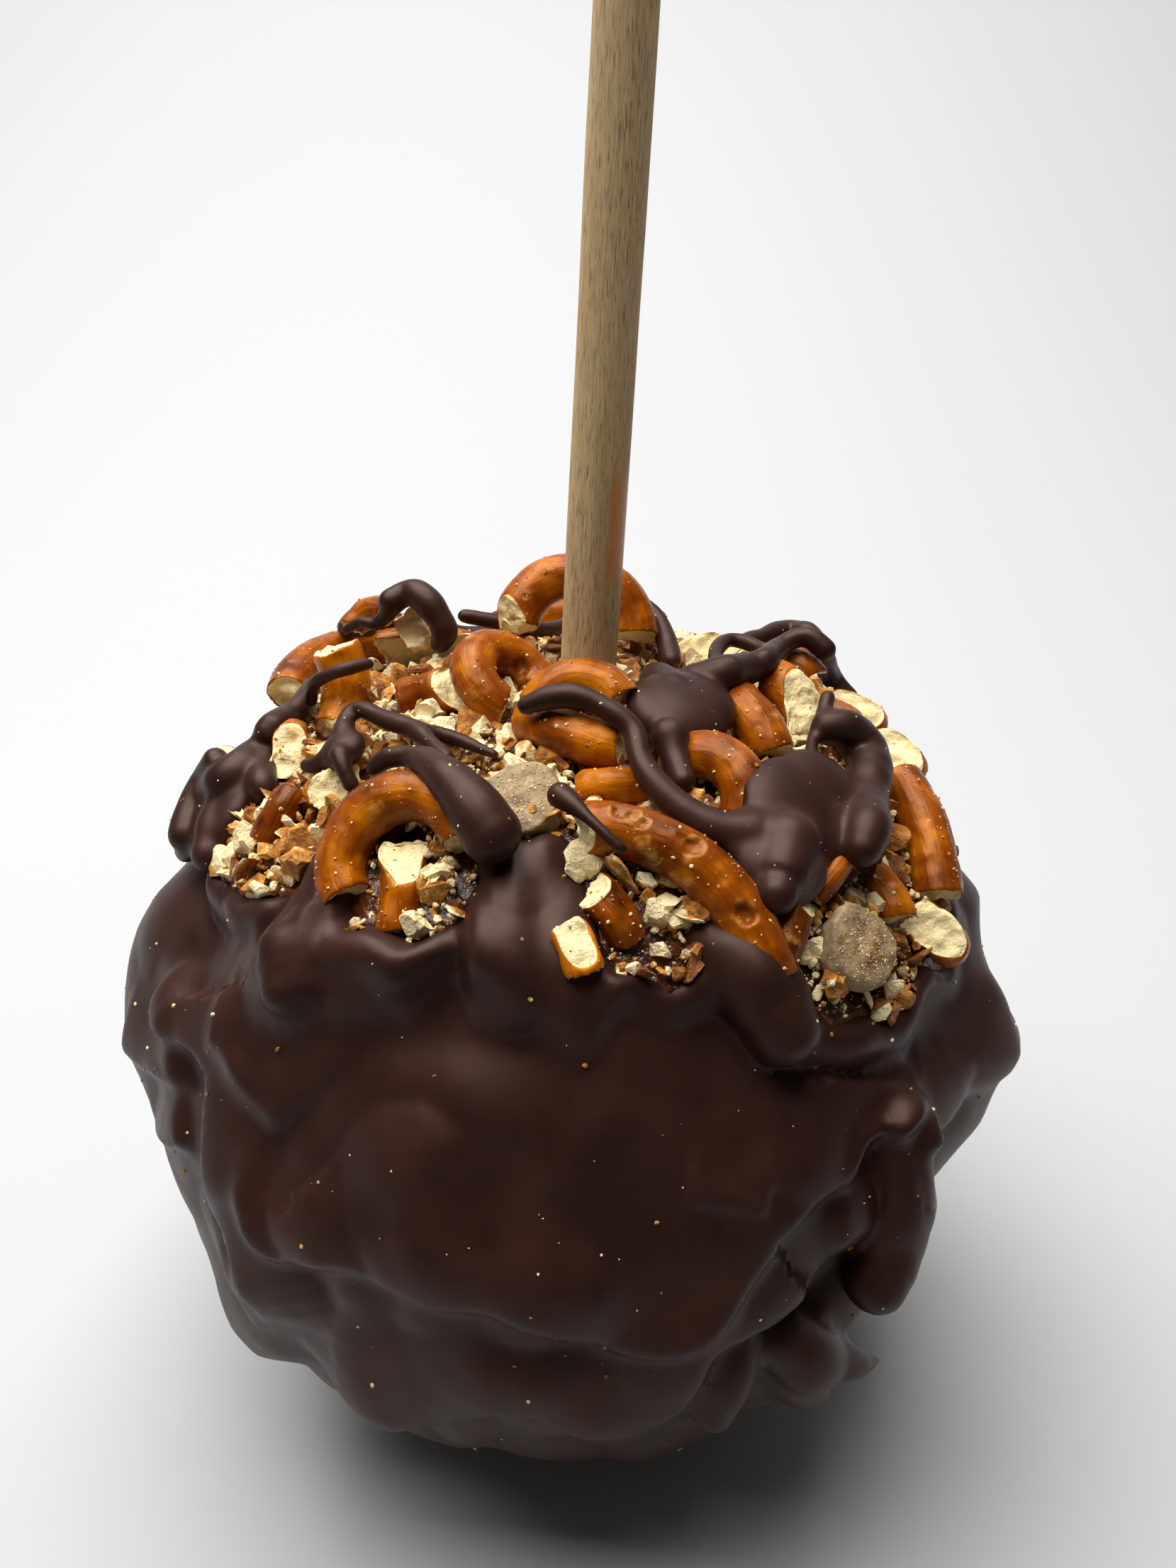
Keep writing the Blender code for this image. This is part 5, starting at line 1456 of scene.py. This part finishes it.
@dataclass
class ChocolateCoat:
    """The dipped coat: lumps and folds where it ran over the caramel, and a rolled wavy edge."""

    voxel: float = 0.64
    passes: int = 4
    lobe_points: int = 24
    lip: float = 2.4
    sunk: float = 1.6
    fold_share: float = 1.3
    billow: float = 2.4
    billow_mm: float = 13.0
    ripple: float = 0.2
    drawn_in: float = 0.7
    outline_share: float = 0.6

    def outline(self, rays: np.ndarray) -> np.ndarray:
        """Height that the measured outline adds near where the coat turns out of sight.

        Args:
            rays: Unit vectors from the apple's middle, one a row.

        Returns:
            Millimetres for each vector.
        """
        clock = np.degrees(np.arctan2(-(rays @ UPWARD), rays[:, 0]))
        clock = (clock + 90.0) % 360.0 - 90.0
        angles, radii = np.array(OUTLINE, dtype=float).T
        return (np.interp(clock, angles, radii) - COAT_RADIUS) * self.turning(rays)

    def turning(self, rays: np.ndarray) -> np.ndarray:
        """How near unit vectors are to the line where the coat turns out of sight, from 0 to 1."""
        depth = (rays @ OUTWARD - OUTLINE_DEPTH) / OUTLINE_SPREAD
        return np.exp(-0.5 * depth * depth)

    def ridges(self, rays: np.ndarray) -> np.ndarray:
        """Height that the broad swellings and hollows add.

        Args:
            rays: Unit vectors from the apple's middle, one a row.

        Returns:
            Millimetres for each vector.
        """
        height = np.zeros(len(rays))
        for ridge in RIDGES:
            start = directions(*ridge.start)
            span = directions(*ridge.end) - start
            share = np.clip((rays - start) @ span / span.dot(span), 0.0, 1.0)
            away = np.linalg.norm(rays - start - share[:, None] * span, axis=1) * COAT_RADIUS
            height += ridge.height * np.exp(-0.5 * (away / ridge.width) ** 2)
        return height

    def folds(self, rays: np.ndarray) -> np.ndarray:
        """Height that the folds add, each soft on one side of its line and sharp on the other.

        Args:
            rays: Unit vectors from the apple's middle, one a row.

        Returns:
            Millimetres for each vector.
        """
        height = np.zeros(len(rays))
        for fold in FOLDS:
            line = directions(*curve_through(fold.points, 3 * len(fold.points)).T)
            best = np.full(len(rays), 9.0)
            side = np.zeros(len(rays))
            place = np.zeros(len(rays))
            steps = len(line) - 1
            for index in range(steps):
                start = line[index]
                span = line[index + 1] - start
                share = np.clip((rays - start) @ span / span.dot(span), 0.0, 1.0)
                rest = rays - start - share[:, None] * span
                away = np.linalg.norm(rest, axis=1)
                right = np.cross(span, start)
                lean = rest @ (right / np.linalg.norm(right)) / np.maximum(away, 1e-6)
                nearer = away < best
                best = np.where(nearer, away, best)
                side = np.where(nearer, lean, side)
                place = np.where(nearer, (index + share) / steps, place)
            width = fold.sharp + (fold.soft - fold.sharp) * ease((side + 1.0) / 2.0)
            taper = ease(np.minimum(place, 1.0 - place) / 0.16)
            height += fold.height * taper * np.exp(-0.5 * (best * COAT_RADIUS / width) ** 2)
        return height

    def radii(self, rays: np.ndarray) -> np.ndarray:
        """Outer radius of the coat along unit vectors, sunk under the bed above its edge.

        Args:
            rays: Unit vectors from the apple's middle, one a row.

        Returns:
            Millimetres for each vector.
        """
        azimuth, latitude = polar(rays)
        ground = rays * COAT_RADIUS
        reach = COAT_RADIUS + 0.5 * noise_at(ground, 11.0) + self.outline(rays) + self.ridges(rays)
        rim = rim_latitude(azimuth) + 1.6 * noise_at(ground, 4.0, 2.0)
        inside = bed_radius(latitude) - self.sunk
        edge = np.radians(rim - latitude) * COAT_RADIUS
        roll = np.clip(1.0 - edge / self.lip, 0.0, 1.0)
        full = np.maximum(reach, core_radius(azimuth, latitude) + 1.3)
        return np.where(edge > 0.0, inside + (full - inside) * np.sqrt(1.0 - roll * roll), inside)

    def build(self, finishes: Finishes) -> bpy.types.Object:
        """Make the coat.

        Args:
            finishes: Materials.

        Returns:
            The coat.
        """
        deselect_all()
        bpy.ops.mesh.primitive_ico_sphere_add(subdivisions=7, radius=MM)
        ball = take("coat")
        rays = points_of(ball)
        rays /= np.linalg.norm(rays, axis=1)[:, None]
        points = MIDDLE + rays * self.radii(rays)[:, None]
        points[:, 2] = np.maximum(points[:, 2], 0.0)
        place_points(ball, points)
        parts = [ball]
        for lobe in LOBES:
            rows = np.array([
                (*(MIDDLE + directions(azimuth, latitude) * (COAT_RADIUS + height)), 2.0 * radius)
                for azimuth, latitude, height, radius in lobe.points])
            rows = curve_through(rows, self.lobe_points)
            parts += Drizzle().capped(rows, "lobe")
        body = join(parts, "chocolate_coat_dipped")
        voxel_skin(body, self.voxel, self.passes)
        points = points_of(body)
        rays = points - MIDDLE
        rays /= np.linalg.norm(rays, axis=1)[:, None]
        azimuth, latitude = polar(rays)
        below = ease((rim_latitude(azimuth) + 1.0 - latitude) / 3.0)
        behind = rays * np.array((1.0, -1.0, 1.0))
        relief = self.fold_share * (self.folds(rays) + self.folds(behind)) * below
        warped = points + 5.0 * noise_at(points, 14.0, 6.0)[:, None]
        billow = np.abs(noise_at(warped, self.billow_mm, 4.0)) - 0.2
        # The upper front lies smoother than the rest
        quiet = np.exp(-((azimuth + 4.0) / 34.0) ** 2 - ((latitude - 18.0) / 20.0) ** 2)
        relief += self.billow * billow * (1.0 - 0.6 * quiet) + self.ripple * noise_at(points, 4.0, 5.0)
        relief -= self.drawn_in
        relief *= 1.0 - self.outline_share * self.turning(rays)
        calm = ease(points[:, 2] / 3.0)
        points = points + rays * (relief * calm)[:, None]
        points[:, 2] = np.maximum(points[:, 2], 0.0)
        place_points(body, points)
        smooth_shading(body)
        dress(body, finishes.chocolate, Slot.CHOCOLATE, "chocolate_coat")
        return body


class Batch(NamedTuple):
    """Many small things of one kind, ready to be joined: places, turns, sizes and tones."""

    places: np.ndarray
    turns: np.ndarray
    sizes: np.ndarray
    tones: np.ndarray


class Grit:
    """A small shape that is modelled once and copied."""

    def __init__(self, number: int, subdivisions: int, cuts: int, rough: float) -> None:
        """Model one lump.

        Args:
            number: Seed of this lump.
            subdivisions: Fineness of the ball that it starts from.
            cuts: Number of flat breaks.
            rough: Relief as a share of its radius.
        """
        draw = random.Random(number * 31 + cuts)
        deselect_all()
        bpy.ops.mesh.primitive_ico_sphere_add(subdivisions=subdivisions, radius=1.0)
        lump = take("grit")
        bpy.ops.object.mode_set(mode="EDIT")
        for _ in range(cuts):
            way = Vector((draw.gauss(0, 1), draw.gauss(0, 1), draw.gauss(0, 1))).normalized()
            bpy.ops.mesh.select_all(action="SELECT")
            bpy.ops.mesh.bisect(plane_co=way * draw.uniform(0.3, 0.85), plane_no=way, use_fill=True,
                                clear_outer=True)
        bpy.ops.mesh.select_all(action="SELECT")
        bpy.ops.mesh.quads_convert_to_tris()
        bpy.ops.object.mode_set(mode="OBJECT")
        points = points_of(lump) * MM
        points *= (1.0 + rough * noise_at(points, 0.6, number))[:, None]
        self.points = points
        self.skin = ease((points[:, 2] - 0.3) / 0.2) if number % 2 == 0 else np.zeros(len(points))
        corners = np.empty(len(lump.data.polygons) * 3, dtype=np.int32)
        lump.data.polygons.foreach_get("vertices", corners)
        self.faces = corners.reshape(-1, 3)
        mesh = lump.data
        bpy.data.objects.remove(lump)
        bpy.data.meshes.remove(mesh)


def turns_at_random(draw: np.random.Generator, count: int) -> np.ndarray:
    """Random rotation matrices.

    Args:
        draw: Source of random numbers.
        count: Number of matrices.

    Returns:
        One three by three matrix for each.
    """
    quaternions = draw.normal(size=(count, 4))
    w, x, y, z = (quaternions / np.linalg.norm(quaternions, axis=1)[:, None]).T
    return np.stack((
        1 - 2 * (y * y + z * z), 2 * (x * y - z * w), 2 * (x * z + y * w),
        2 * (x * y + z * w), 1 - 2 * (x * x + z * z), 2 * (y * z - x * w),
        2 * (x * z - y * w), 2 * (y * z + x * w), 1 - 2 * (x * x + y * y)), axis=1).reshape(-1, 3, 3)


def joined(name: str, grits: Sequence[Grit], batch: Batch) -> bpy.types.Object:
    """Copy the small shapes to their places as one mesh.

    Args:
        name: Name of the new object.
        grits: Shapes to copy by turns.
        batch: Where, how turned, how large and how toasted each copy is.

    Returns:
        The joined object.
    """
    points = []
    faces = []
    tones = []
    offset = 0
    for number in range(len(batch.places)):
        grit = grits[number % len(grits)]
        shape = (grit.points * batch.sizes[number]) @ batch.turns[number].T + batch.places[number]
        points.append(shape)
        faces.append(grit.faces + offset)
        tones.append(np.maximum(batch.tones[number], grit.skin * 0.8))
        offset += len(shape)
    mesh = bpy.data.meshes.new(name)
    mesh.from_pydata((np.vstack(points) * MM).tolist(), [], np.vstack(faces).tolist())
    made = bpy.data.objects.new(name, mesh)
    bpy.context.scene.collection.objects.link(made)
    mark(made, "tone", np.concatenate(tones))
    return made


class CrumbKind(NamedTuple):
    """One size of crumb: how many are tried, how they lie in the bed, how pale they are, and their shape.

    Sizes are the smallest and largest radius in millimetres, lift is how far a crumb stands out of the
    bed as a share of its radius, and clear is how near its middle may come to a strand's centre line as
    a share of the strand's radius. Pale is the share of crumbs that show the inside of the dough.
    """

    name: str
    tries: int
    sizes: tuple
    lift: float
    clear: float
    pale: float
    stretch: tuple
    thin: float
    fineness: int
    cuts: int
    rough: float


KINDS = (
    CrumbKind("crumb_chunks", 2200, (0.5, 2.0), 0.35, 1.0, 0.72, (0.6, 1.15), 1.0, 2, 7, 0.35),
    CrumbKind("crumb_flakes", 1700, (0.6, 2.0), 0.6, 0.95, 0.3, (0.6, 1.1), 0.3, 2, 5, 0.25),
    CrumbKind("crumb_grains", 8000, (0.2, 0.55), 1.2, 0.95, 0.6, (0.5, 1.3), 1.0, 1, 2, 0.3),
    CrumbKind("crumb_dust", 12000, (0.08, 0.2), 1.6, 1.0, 0.7, (0.7, 1.3), 1.0, 1, 0, 0.3),
)


def spots(draw: np.random.Generator, count: int, lowest: float) -> np.ndarray:
    """Random directions above a latitude, evenly spread over the dome.

    Args:
        draw: Source of random numbers.
        count: Number of directions.
        lowest: Lowest latitude in degrees.

    Returns:
        One unit vector a row.
    """
    height = draw.uniform(math.sin(math.radians(lowest)), 1.0, count)
    turn = draw.uniform(0.0, math.tau, count)
    flat = np.sqrt(1.0 - height * height)
    return np.stack((flat * np.sin(turn), -flat * np.cos(turn), height), axis=1)


def mostly_small(draw: np.random.Generator, count: int, sizes: tuple, skew: float) -> np.ndarray:
    """Random radii between two sizes, the more of them small the larger the skew."""
    return draw.uniform(0.0, 1.0, count) ** skew * (sizes[1] - sizes[0]) + sizes[0]


def tree_of(pieces: Sequence[bpy.types.Object]) -> BVHTree:
    """Search tree over the triangles of some pieces, in millimetres.

    Args:
        pieces: Mesh objects to search.

    Returns:
        The search tree.
    """
    points = []
    faces = []
    offset = 0
    for piece in pieces:
        rows = points_of(piece)
        points.extend(rows.tolist())
        for face in piece.data.polygons:
            faces.append([corner + offset for corner in face.vertices])
        offset += len(rows)
    return BVHTree.FromPolygons(points, faces)


@dataclass
class CrumbBed:
    """The sticky caramel top of the apple, buried in crushed pretzel."""

    lowest: float = 24.0
    over_rim: float = 1.0
    skew: float = 1.6
    shapes: int = 9
    pale_tones: tuple = (-0.1, 0.28)
    dark_tones: tuple = (0.45, 0.95)
    line_points: int = 13

    def core(self, finishes: Finishes) -> None:
        """The caramel dome under the crumbs, with relief of their size.

        Args:
            finishes: Materials.
        """
        deselect_all()
        bpy.ops.mesh.primitive_ico_sphere_add(subdivisions=6, radius=MM)
        body = take("caramel_apple_under_crumbs")
        rays = points_of(body)
        rays /= np.linalg.norm(rays, axis=1)[:, None]
        azimuth, latitude = polar(rays)
        reach = core_radius(azimuth, latitude) + 0.45 * noise_at(rays * BED_RADIUS, 2.0) - 0.2
        points = MIDDLE + rays * reach[:, None]
        points[:, 2] = np.maximum(points[:, 2], APPLE_FLOOR)
        place_points(body, points)
        smooth_shading(body)
        dress(body, finishes.caramel, Slot.CARAMEL, "caramel_apple")

    def on_bed(self, draw: np.random.Generator, kind: CrumbKind,
               lines: Sequence[tuple]) -> tuple[np.ndarray, np.ndarray]:
        """Places on the bed that keep off the larger pieces.

        Args:
            draw: Random source.
            kind: The crumbs' size and how they lie.
            lines: Centre line and thickness of each pretzel piece.

        Returns:
            Places and radii.
        """
        rays = spots(draw, kind.tries, self.lowest)
        azimuth, latitude = polar(rays)
        radii = mostly_small(draw, kind.tries, kind.sizes, self.skew)
        inside = latitude > rim_latitude(azimuth) - self.over_rim
        rays, latitude, radii = rays[inside], latitude[inside], radii[inside]
        places = MIDDLE + rays * (bed_radius(latitude) + kind.lift * radii)[:, None]
        keep = np.ones(len(places), dtype=bool)
        for line, strand in lines:
            away = np.min(np.linalg.norm(places[:, None, :] - line[None, :, :], axis=2), axis=1)
            keep &= away > strand / 2.0 * kind.clear
        return places[keep], radii[keep]

    def build(self, finishes: Finishes) -> None:
        """Make the caramel dome and the crumbs on it.

        Args:
            finishes: Materials.
        """
        draw = np.random.default_rng(SEED)
        lines = strand_lines(self.line_points)
        self.core(finishes)
        for kind in KINDS:
            grits = [Grit(number, kind.fineness, kind.cuts, kind.rough) for number in range(self.shapes)]
            places, radii = self.on_bed(draw, kind, lines)
            total = len(places)
            shapes = radii[:, None] * draw.uniform(*kind.stretch, (total, 3))
            shapes[:, 2] *= kind.thin
            tones = np.where(draw.random(total) < kind.pale, draw.uniform(*self.pale_tones, total),
                             draw.uniform(*self.dark_tones, total))
            piece = joined(kind.name, grits, Batch(places, turns_at_random(draw, total), shapes, tones))
            dress(piece, finishes.crumb, Slot.PRETZEL)


@dataclass
class CrumbDust:
    """Fine pretzel dust fallen on the pieces, the drizzle and the coat."""

    on_pieces: int = 5200
    on_pours: int = 900
    on_coat: int = 620
    on_chips: int = 650
    lowest_on_top: float = 26.0
    lowest_on_coat: float = -40.0
    fall_from: float = 75.0
    fall: float = 60.0
    skew: float = 2.5
    stretch: tuple = (0.7, 1.3)
    tones: tuple = (0.0, 0.6)
    shapes: int = 5
    chip_spray: float = 0.55

    def drop_on(self, name: str, tree: BVHTree, rays: np.ndarray, sizes: tuple, finishes: Finishes,
                draw: np.random.Generator) -> None:
        """Drop grains along rays towards the apple's middle.

        Args:
            name: Name of the new object.
            tree: Surfaces that the grains fall on.
            rays: Unit vectors from the middle.
            sizes: Smallest and largest radius in millimetres.
            finishes: Materials.
            draw: Random source.
        """
        hits = [tree.ray_cast(Vector(MIDDLE + ray * self.fall_from), Vector(-ray), self.fall)[0]
                for ray in rays]
        places = np.array([hit for hit in hits if hit is not None])
        total = len(places)
        grits = [Grit(number, 1, 0, 0.3) for number in range(self.shapes)]
        radii = mostly_small(draw, total, sizes, self.skew)
        shapes = radii[:, None] * draw.uniform(*self.stretch, (total, 3))
        turns = turns_at_random(draw, total)
        piece = joined(name, grits, Batch(places, turns, shapes, draw.uniform(*self.tones, total)))
        dress(piece, finishes.crumb, Slot.PRETZEL)

    def build(self, finishes: Finishes, pieces: Sequence[bpy.types.Object], pours: Sequence[bpy.types.Object],
              chips: Sequence[bpy.types.Object], coat: bpy.types.Object) -> None:
        """Scatter the dust.

        Args:
            finishes: Materials.
            pieces: Pretzel pieces.
            pours: The drizzle.
            chips: The chocolate chips.
            coat: The chocolate coat.
        """
        draw = np.random.default_rng(SEED + 1)
        for name, under, count, lowest, sizes in (
            ("dust_on_pieces", pieces, self.on_pieces, self.lowest_on_top, (0.05, 0.2)),
            ("dust_on_pours", pours, self.on_pours, self.lowest_on_top, (0.05, 0.15)),
            ("dust_on_coat", [coat], self.on_coat, self.lowest_on_coat, (0.06, 0.27)),
        ):
            self.drop_on(name, tree_of(under), spots(draw, count, lowest), sizes, finishes, draw)
        spray = []
        for chip in CHIPS:
            way = np.array(chip.place) - MIDDLE
            aim = way + draw.normal(size=(self.on_chips, 3)) * chip.radius * self.chip_spray
            spray.append(aim / np.linalg.norm(aim, axis=1)[:, None])
        self.drop_on("dust_on_chips", tree_of(chips), np.vstack(spray), (0.04, 0.11), finishes, draw)


@dataclass
class WoodenStick:
    """The birch dowel: bare, a little uneven, with a syrup stain on its right side."""

    diameter: float = 5.56
    length: float = 140.0
    buried: float = 52.0
    lean: float = 3.1
    entry: tuple = (1.96, 0.0, 83.8)
    sides: int = 64
    rings: int = 120
    chamfer: float = 0.4
    waver: float = 0.05
    stain_heights: tuple = (96.0, 107.0)
    fibre_along: float = 0.22
    fibre_across: float = 3.4

    def build(self, finishes: Finishes) -> None:
        """Make the stick.

        Args:
            finishes: Materials.
        """
        tilt = math.radians(self.lean)
        way = np.array((math.sin(tilt), 0.0, math.cos(tilt)))
        foot = np.array(self.entry) - way * self.buried
        deselect_all()
        bpy.ops.mesh.primitive_cylinder_add(
            vertices=self.sides, radius=self.diameter / 2.0 * MM, depth=self.length * MM,
            location=Vector(foot + way * self.length / 2.0) * MM, rotation=(0.0, tilt, 0.0))
        dowel = take("wooden_stick_turned")
        settle(dowel)
        change(dowel, "BEVEL", width=self.chamfer * MM, segments=2, limit_method="ANGLE",
               angle_limit=math.radians(60.0))
        only(dowel)
        bpy.ops.object.mode_set(mode="EDIT")
        for ring in range(1, self.rings):
            bpy.ops.mesh.select_all(action="SELECT")
            bpy.ops.mesh.bisect(plane_co=Vector(foot + way * self.length * ring / self.rings) * MM,
                                plane_no=Vector(way))
        bpy.ops.object.mode_set(mode="OBJECT")
        points = points_of(dowel)
        rise = (points - foot) @ way
        axis = foot + rise[:, None] * way
        spoke = points - axis
        reach = np.maximum(np.linalg.norm(spoke, axis=1), 1e-6)
        around = np.arctan2(spoke[:, 1], spoke[:, 0])
        drawn_out = np.stack((rise * 0.25, np.cos(around) * 4.0, np.sin(around) * 4.0), 1)
        uneven = self.waver * noise_at(drawn_out, 3.0)
        edge = ease((reach - self.diameter * 0.4) / 0.3)
        points = points + spoke / reach[:, None] * (uneven * edge)[:, None]
        place_points(dowel, points)
        mark(dowel, "grain", np.stack((
            rise * self.fibre_along, np.cos(around) * reach * self.fibre_across,
            np.sin(around) * reach * self.fibre_across), 1))
        low, high = self.stain_heights
        height = ease((points[:, 2] - low + 3.0) / 3.0) * ease((high - points[:, 2]) / 5.0)
        right = ease((np.cos(around) - 0.40 + 0.12 * noise_at(points, 3.0, 8.0)) / 0.06)
        mark(dowel, "stain", height * right)
        change(dowel, "WEIGHTED_NORMAL", keep_sharp=True)
        bpy.ops.object.shade_smooth_by_angle(angle=math.radians(40.0))
        dress(dowel, finishes.wood, Slot.STICK, "stick")


class Lamp(NamedTuple):
    """A soft square light: where it hangs and what it is aimed at, its side in metres, its power in watts."""

    name: str
    place: tuple
    aim: tuple
    side: float
    power: float


LAMPS = (
    Lamp("overhead_light", (-0.12, 0.03, 0.65), (0.0, 0.0, 0.06), 0.65, 10.2),
    Lamp("backdrop_light", (0.0, 0.45, 0.7), (0.0, 0.9, 0.3), 0.9, 3.0),
)


@dataclass
class Studio:
    """Pale paper sweep, soft lights and the camera at the photograph's angle, in metres."""

    floor_half: float = 1.4
    floor_front: float = 1.4
    wall_at: float = 0.7
    wall_height: float = 1.5
    bend: float = 0.55
    surround: float = 0.07
    camera_place: tuple = (0.002, -0.132, 0.1338)
    camera_pitch: float = 65.0
    lens: float = 32.55
    sensor: float = 36.0
    near: float = 0.005

    def sweep(self, finishes: Finishes) -> None:
        """The floor with its back bent up into a wall.

        Args:
            finishes: Materials.
        """
        deselect_all()
        bpy.ops.mesh.primitive_plane_add(size=1.0)
        paper = take("paper_sweep")
        depth = self.wall_at + self.floor_front
        paper.scale = (2.0 * self.floor_half, depth, 1.0)
        paper.location = (0.0, (self.wall_at - self.floor_front) / 2.0, 0.0)
        settle(paper)
        bpy.ops.object.mode_set(mode="EDIT")
        bpy.ops.mesh.select_mode(type="EDGE")
        bpy.ops.mesh.select_all(action="DESELECT")
        bpy.ops.object.mode_set(mode="OBJECT")
        for edge in paper.data.edges:
            ends = [paper.data.vertices[index].co.y for index in edge.vertices]
            edge.select = min(ends) > self.wall_at - 0.01
        bpy.ops.object.mode_set(mode="EDIT")
        bpy.ops.mesh.extrude_region_move(TRANSFORM_OT_translate={"value": (0.0, 0.0, self.wall_height)})
        bpy.ops.mesh.select_mode(type="VERT")
        bpy.ops.object.mode_set(mode="OBJECT")
        corner = paper.data.attributes.new("bevel_weight_edge", "FLOAT", "EDGE")
        for edge in paper.data.edges:
            ends = [paper.data.vertices[index].co for index in edge.vertices]
            on_bend = all(end.y > self.wall_at - 0.01 and abs(end.z) < 0.01 for end in ends)
            corner.data[edge.index].value = 1.0 if on_bend else 0.0
        change(paper, "BEVEL", width=self.bend, segments=24, limit_method="WEIGHT")
        smooth_shading(paper)
        paper.data.materials.append(finishes.paper)

    def hang(self, lamp: Lamp) -> None:
        """Hang one light and aim it.

        Args:
            lamp: Place, aim, size and power of the light.
        """
        data = bpy.data.lights.new(lamp.name, "AREA")
        data.shape = "SQUARE"
        data.size = lamp.side
        data.energy = lamp.power
        made = bpy.data.objects.new(lamp.name, data)
        bpy.context.scene.collection.objects.link(made)
        made.location = lamp.place
        made.rotation_euler = (Vector(lamp.aim) - Vector(lamp.place)).to_track_quat("-Z", "Y").to_euler()

    def build(self, finishes: Finishes) -> None:
        """Set the stage.

        Args:
            finishes: Materials.
        """
        self.sweep(finishes)
        for lamp in LAMPS:
            self.hang(lamp)
        world = bpy.data.worlds.new("studio_surround")
        world.use_nodes = True
        background = world.node_tree.nodes["Background"]
        background.inputs["Color"].default_value = (1.0, 1.0, 1.0, 1.0)
        background.inputs["Strength"].default_value = self.surround
        scene = bpy.context.scene
        scene.world = world
        scene.view_settings.view_transform = "Standard"
        data = bpy.data.cameras.new("camera")
        data.lens = self.lens
        data.sensor_width = self.sensor
        data.clip_start = self.near
        camera = bpy.data.objects.new("camera", data)
        scene.collection.objects.link(camera)
        camera.location = self.camera_place
        camera.rotation_euler = (math.radians(self.camera_pitch), 0.0, 0.0)
        scene.camera = camera


def main() -> None:
    """Build the classes in order and report each piece."""
    logging.basicConfig(level=logging.INFO, format="%(message)s")
    finishes = Finishes()
    Studio().build(finishes)
    WoodenStick().build(finishes)
    pretzels = PretzelPieces().build(finishes)
    chips = ChocolateChips().build(finishes)
    pours = Drizzle().build(finishes)
    coat = ChocolateCoat().build(finishes)
    CrumbBed().build(finishes)
    CrumbDust().build(finishes, pretzels, pours, chips, coat)


if __name__ == "__main__":
    main()
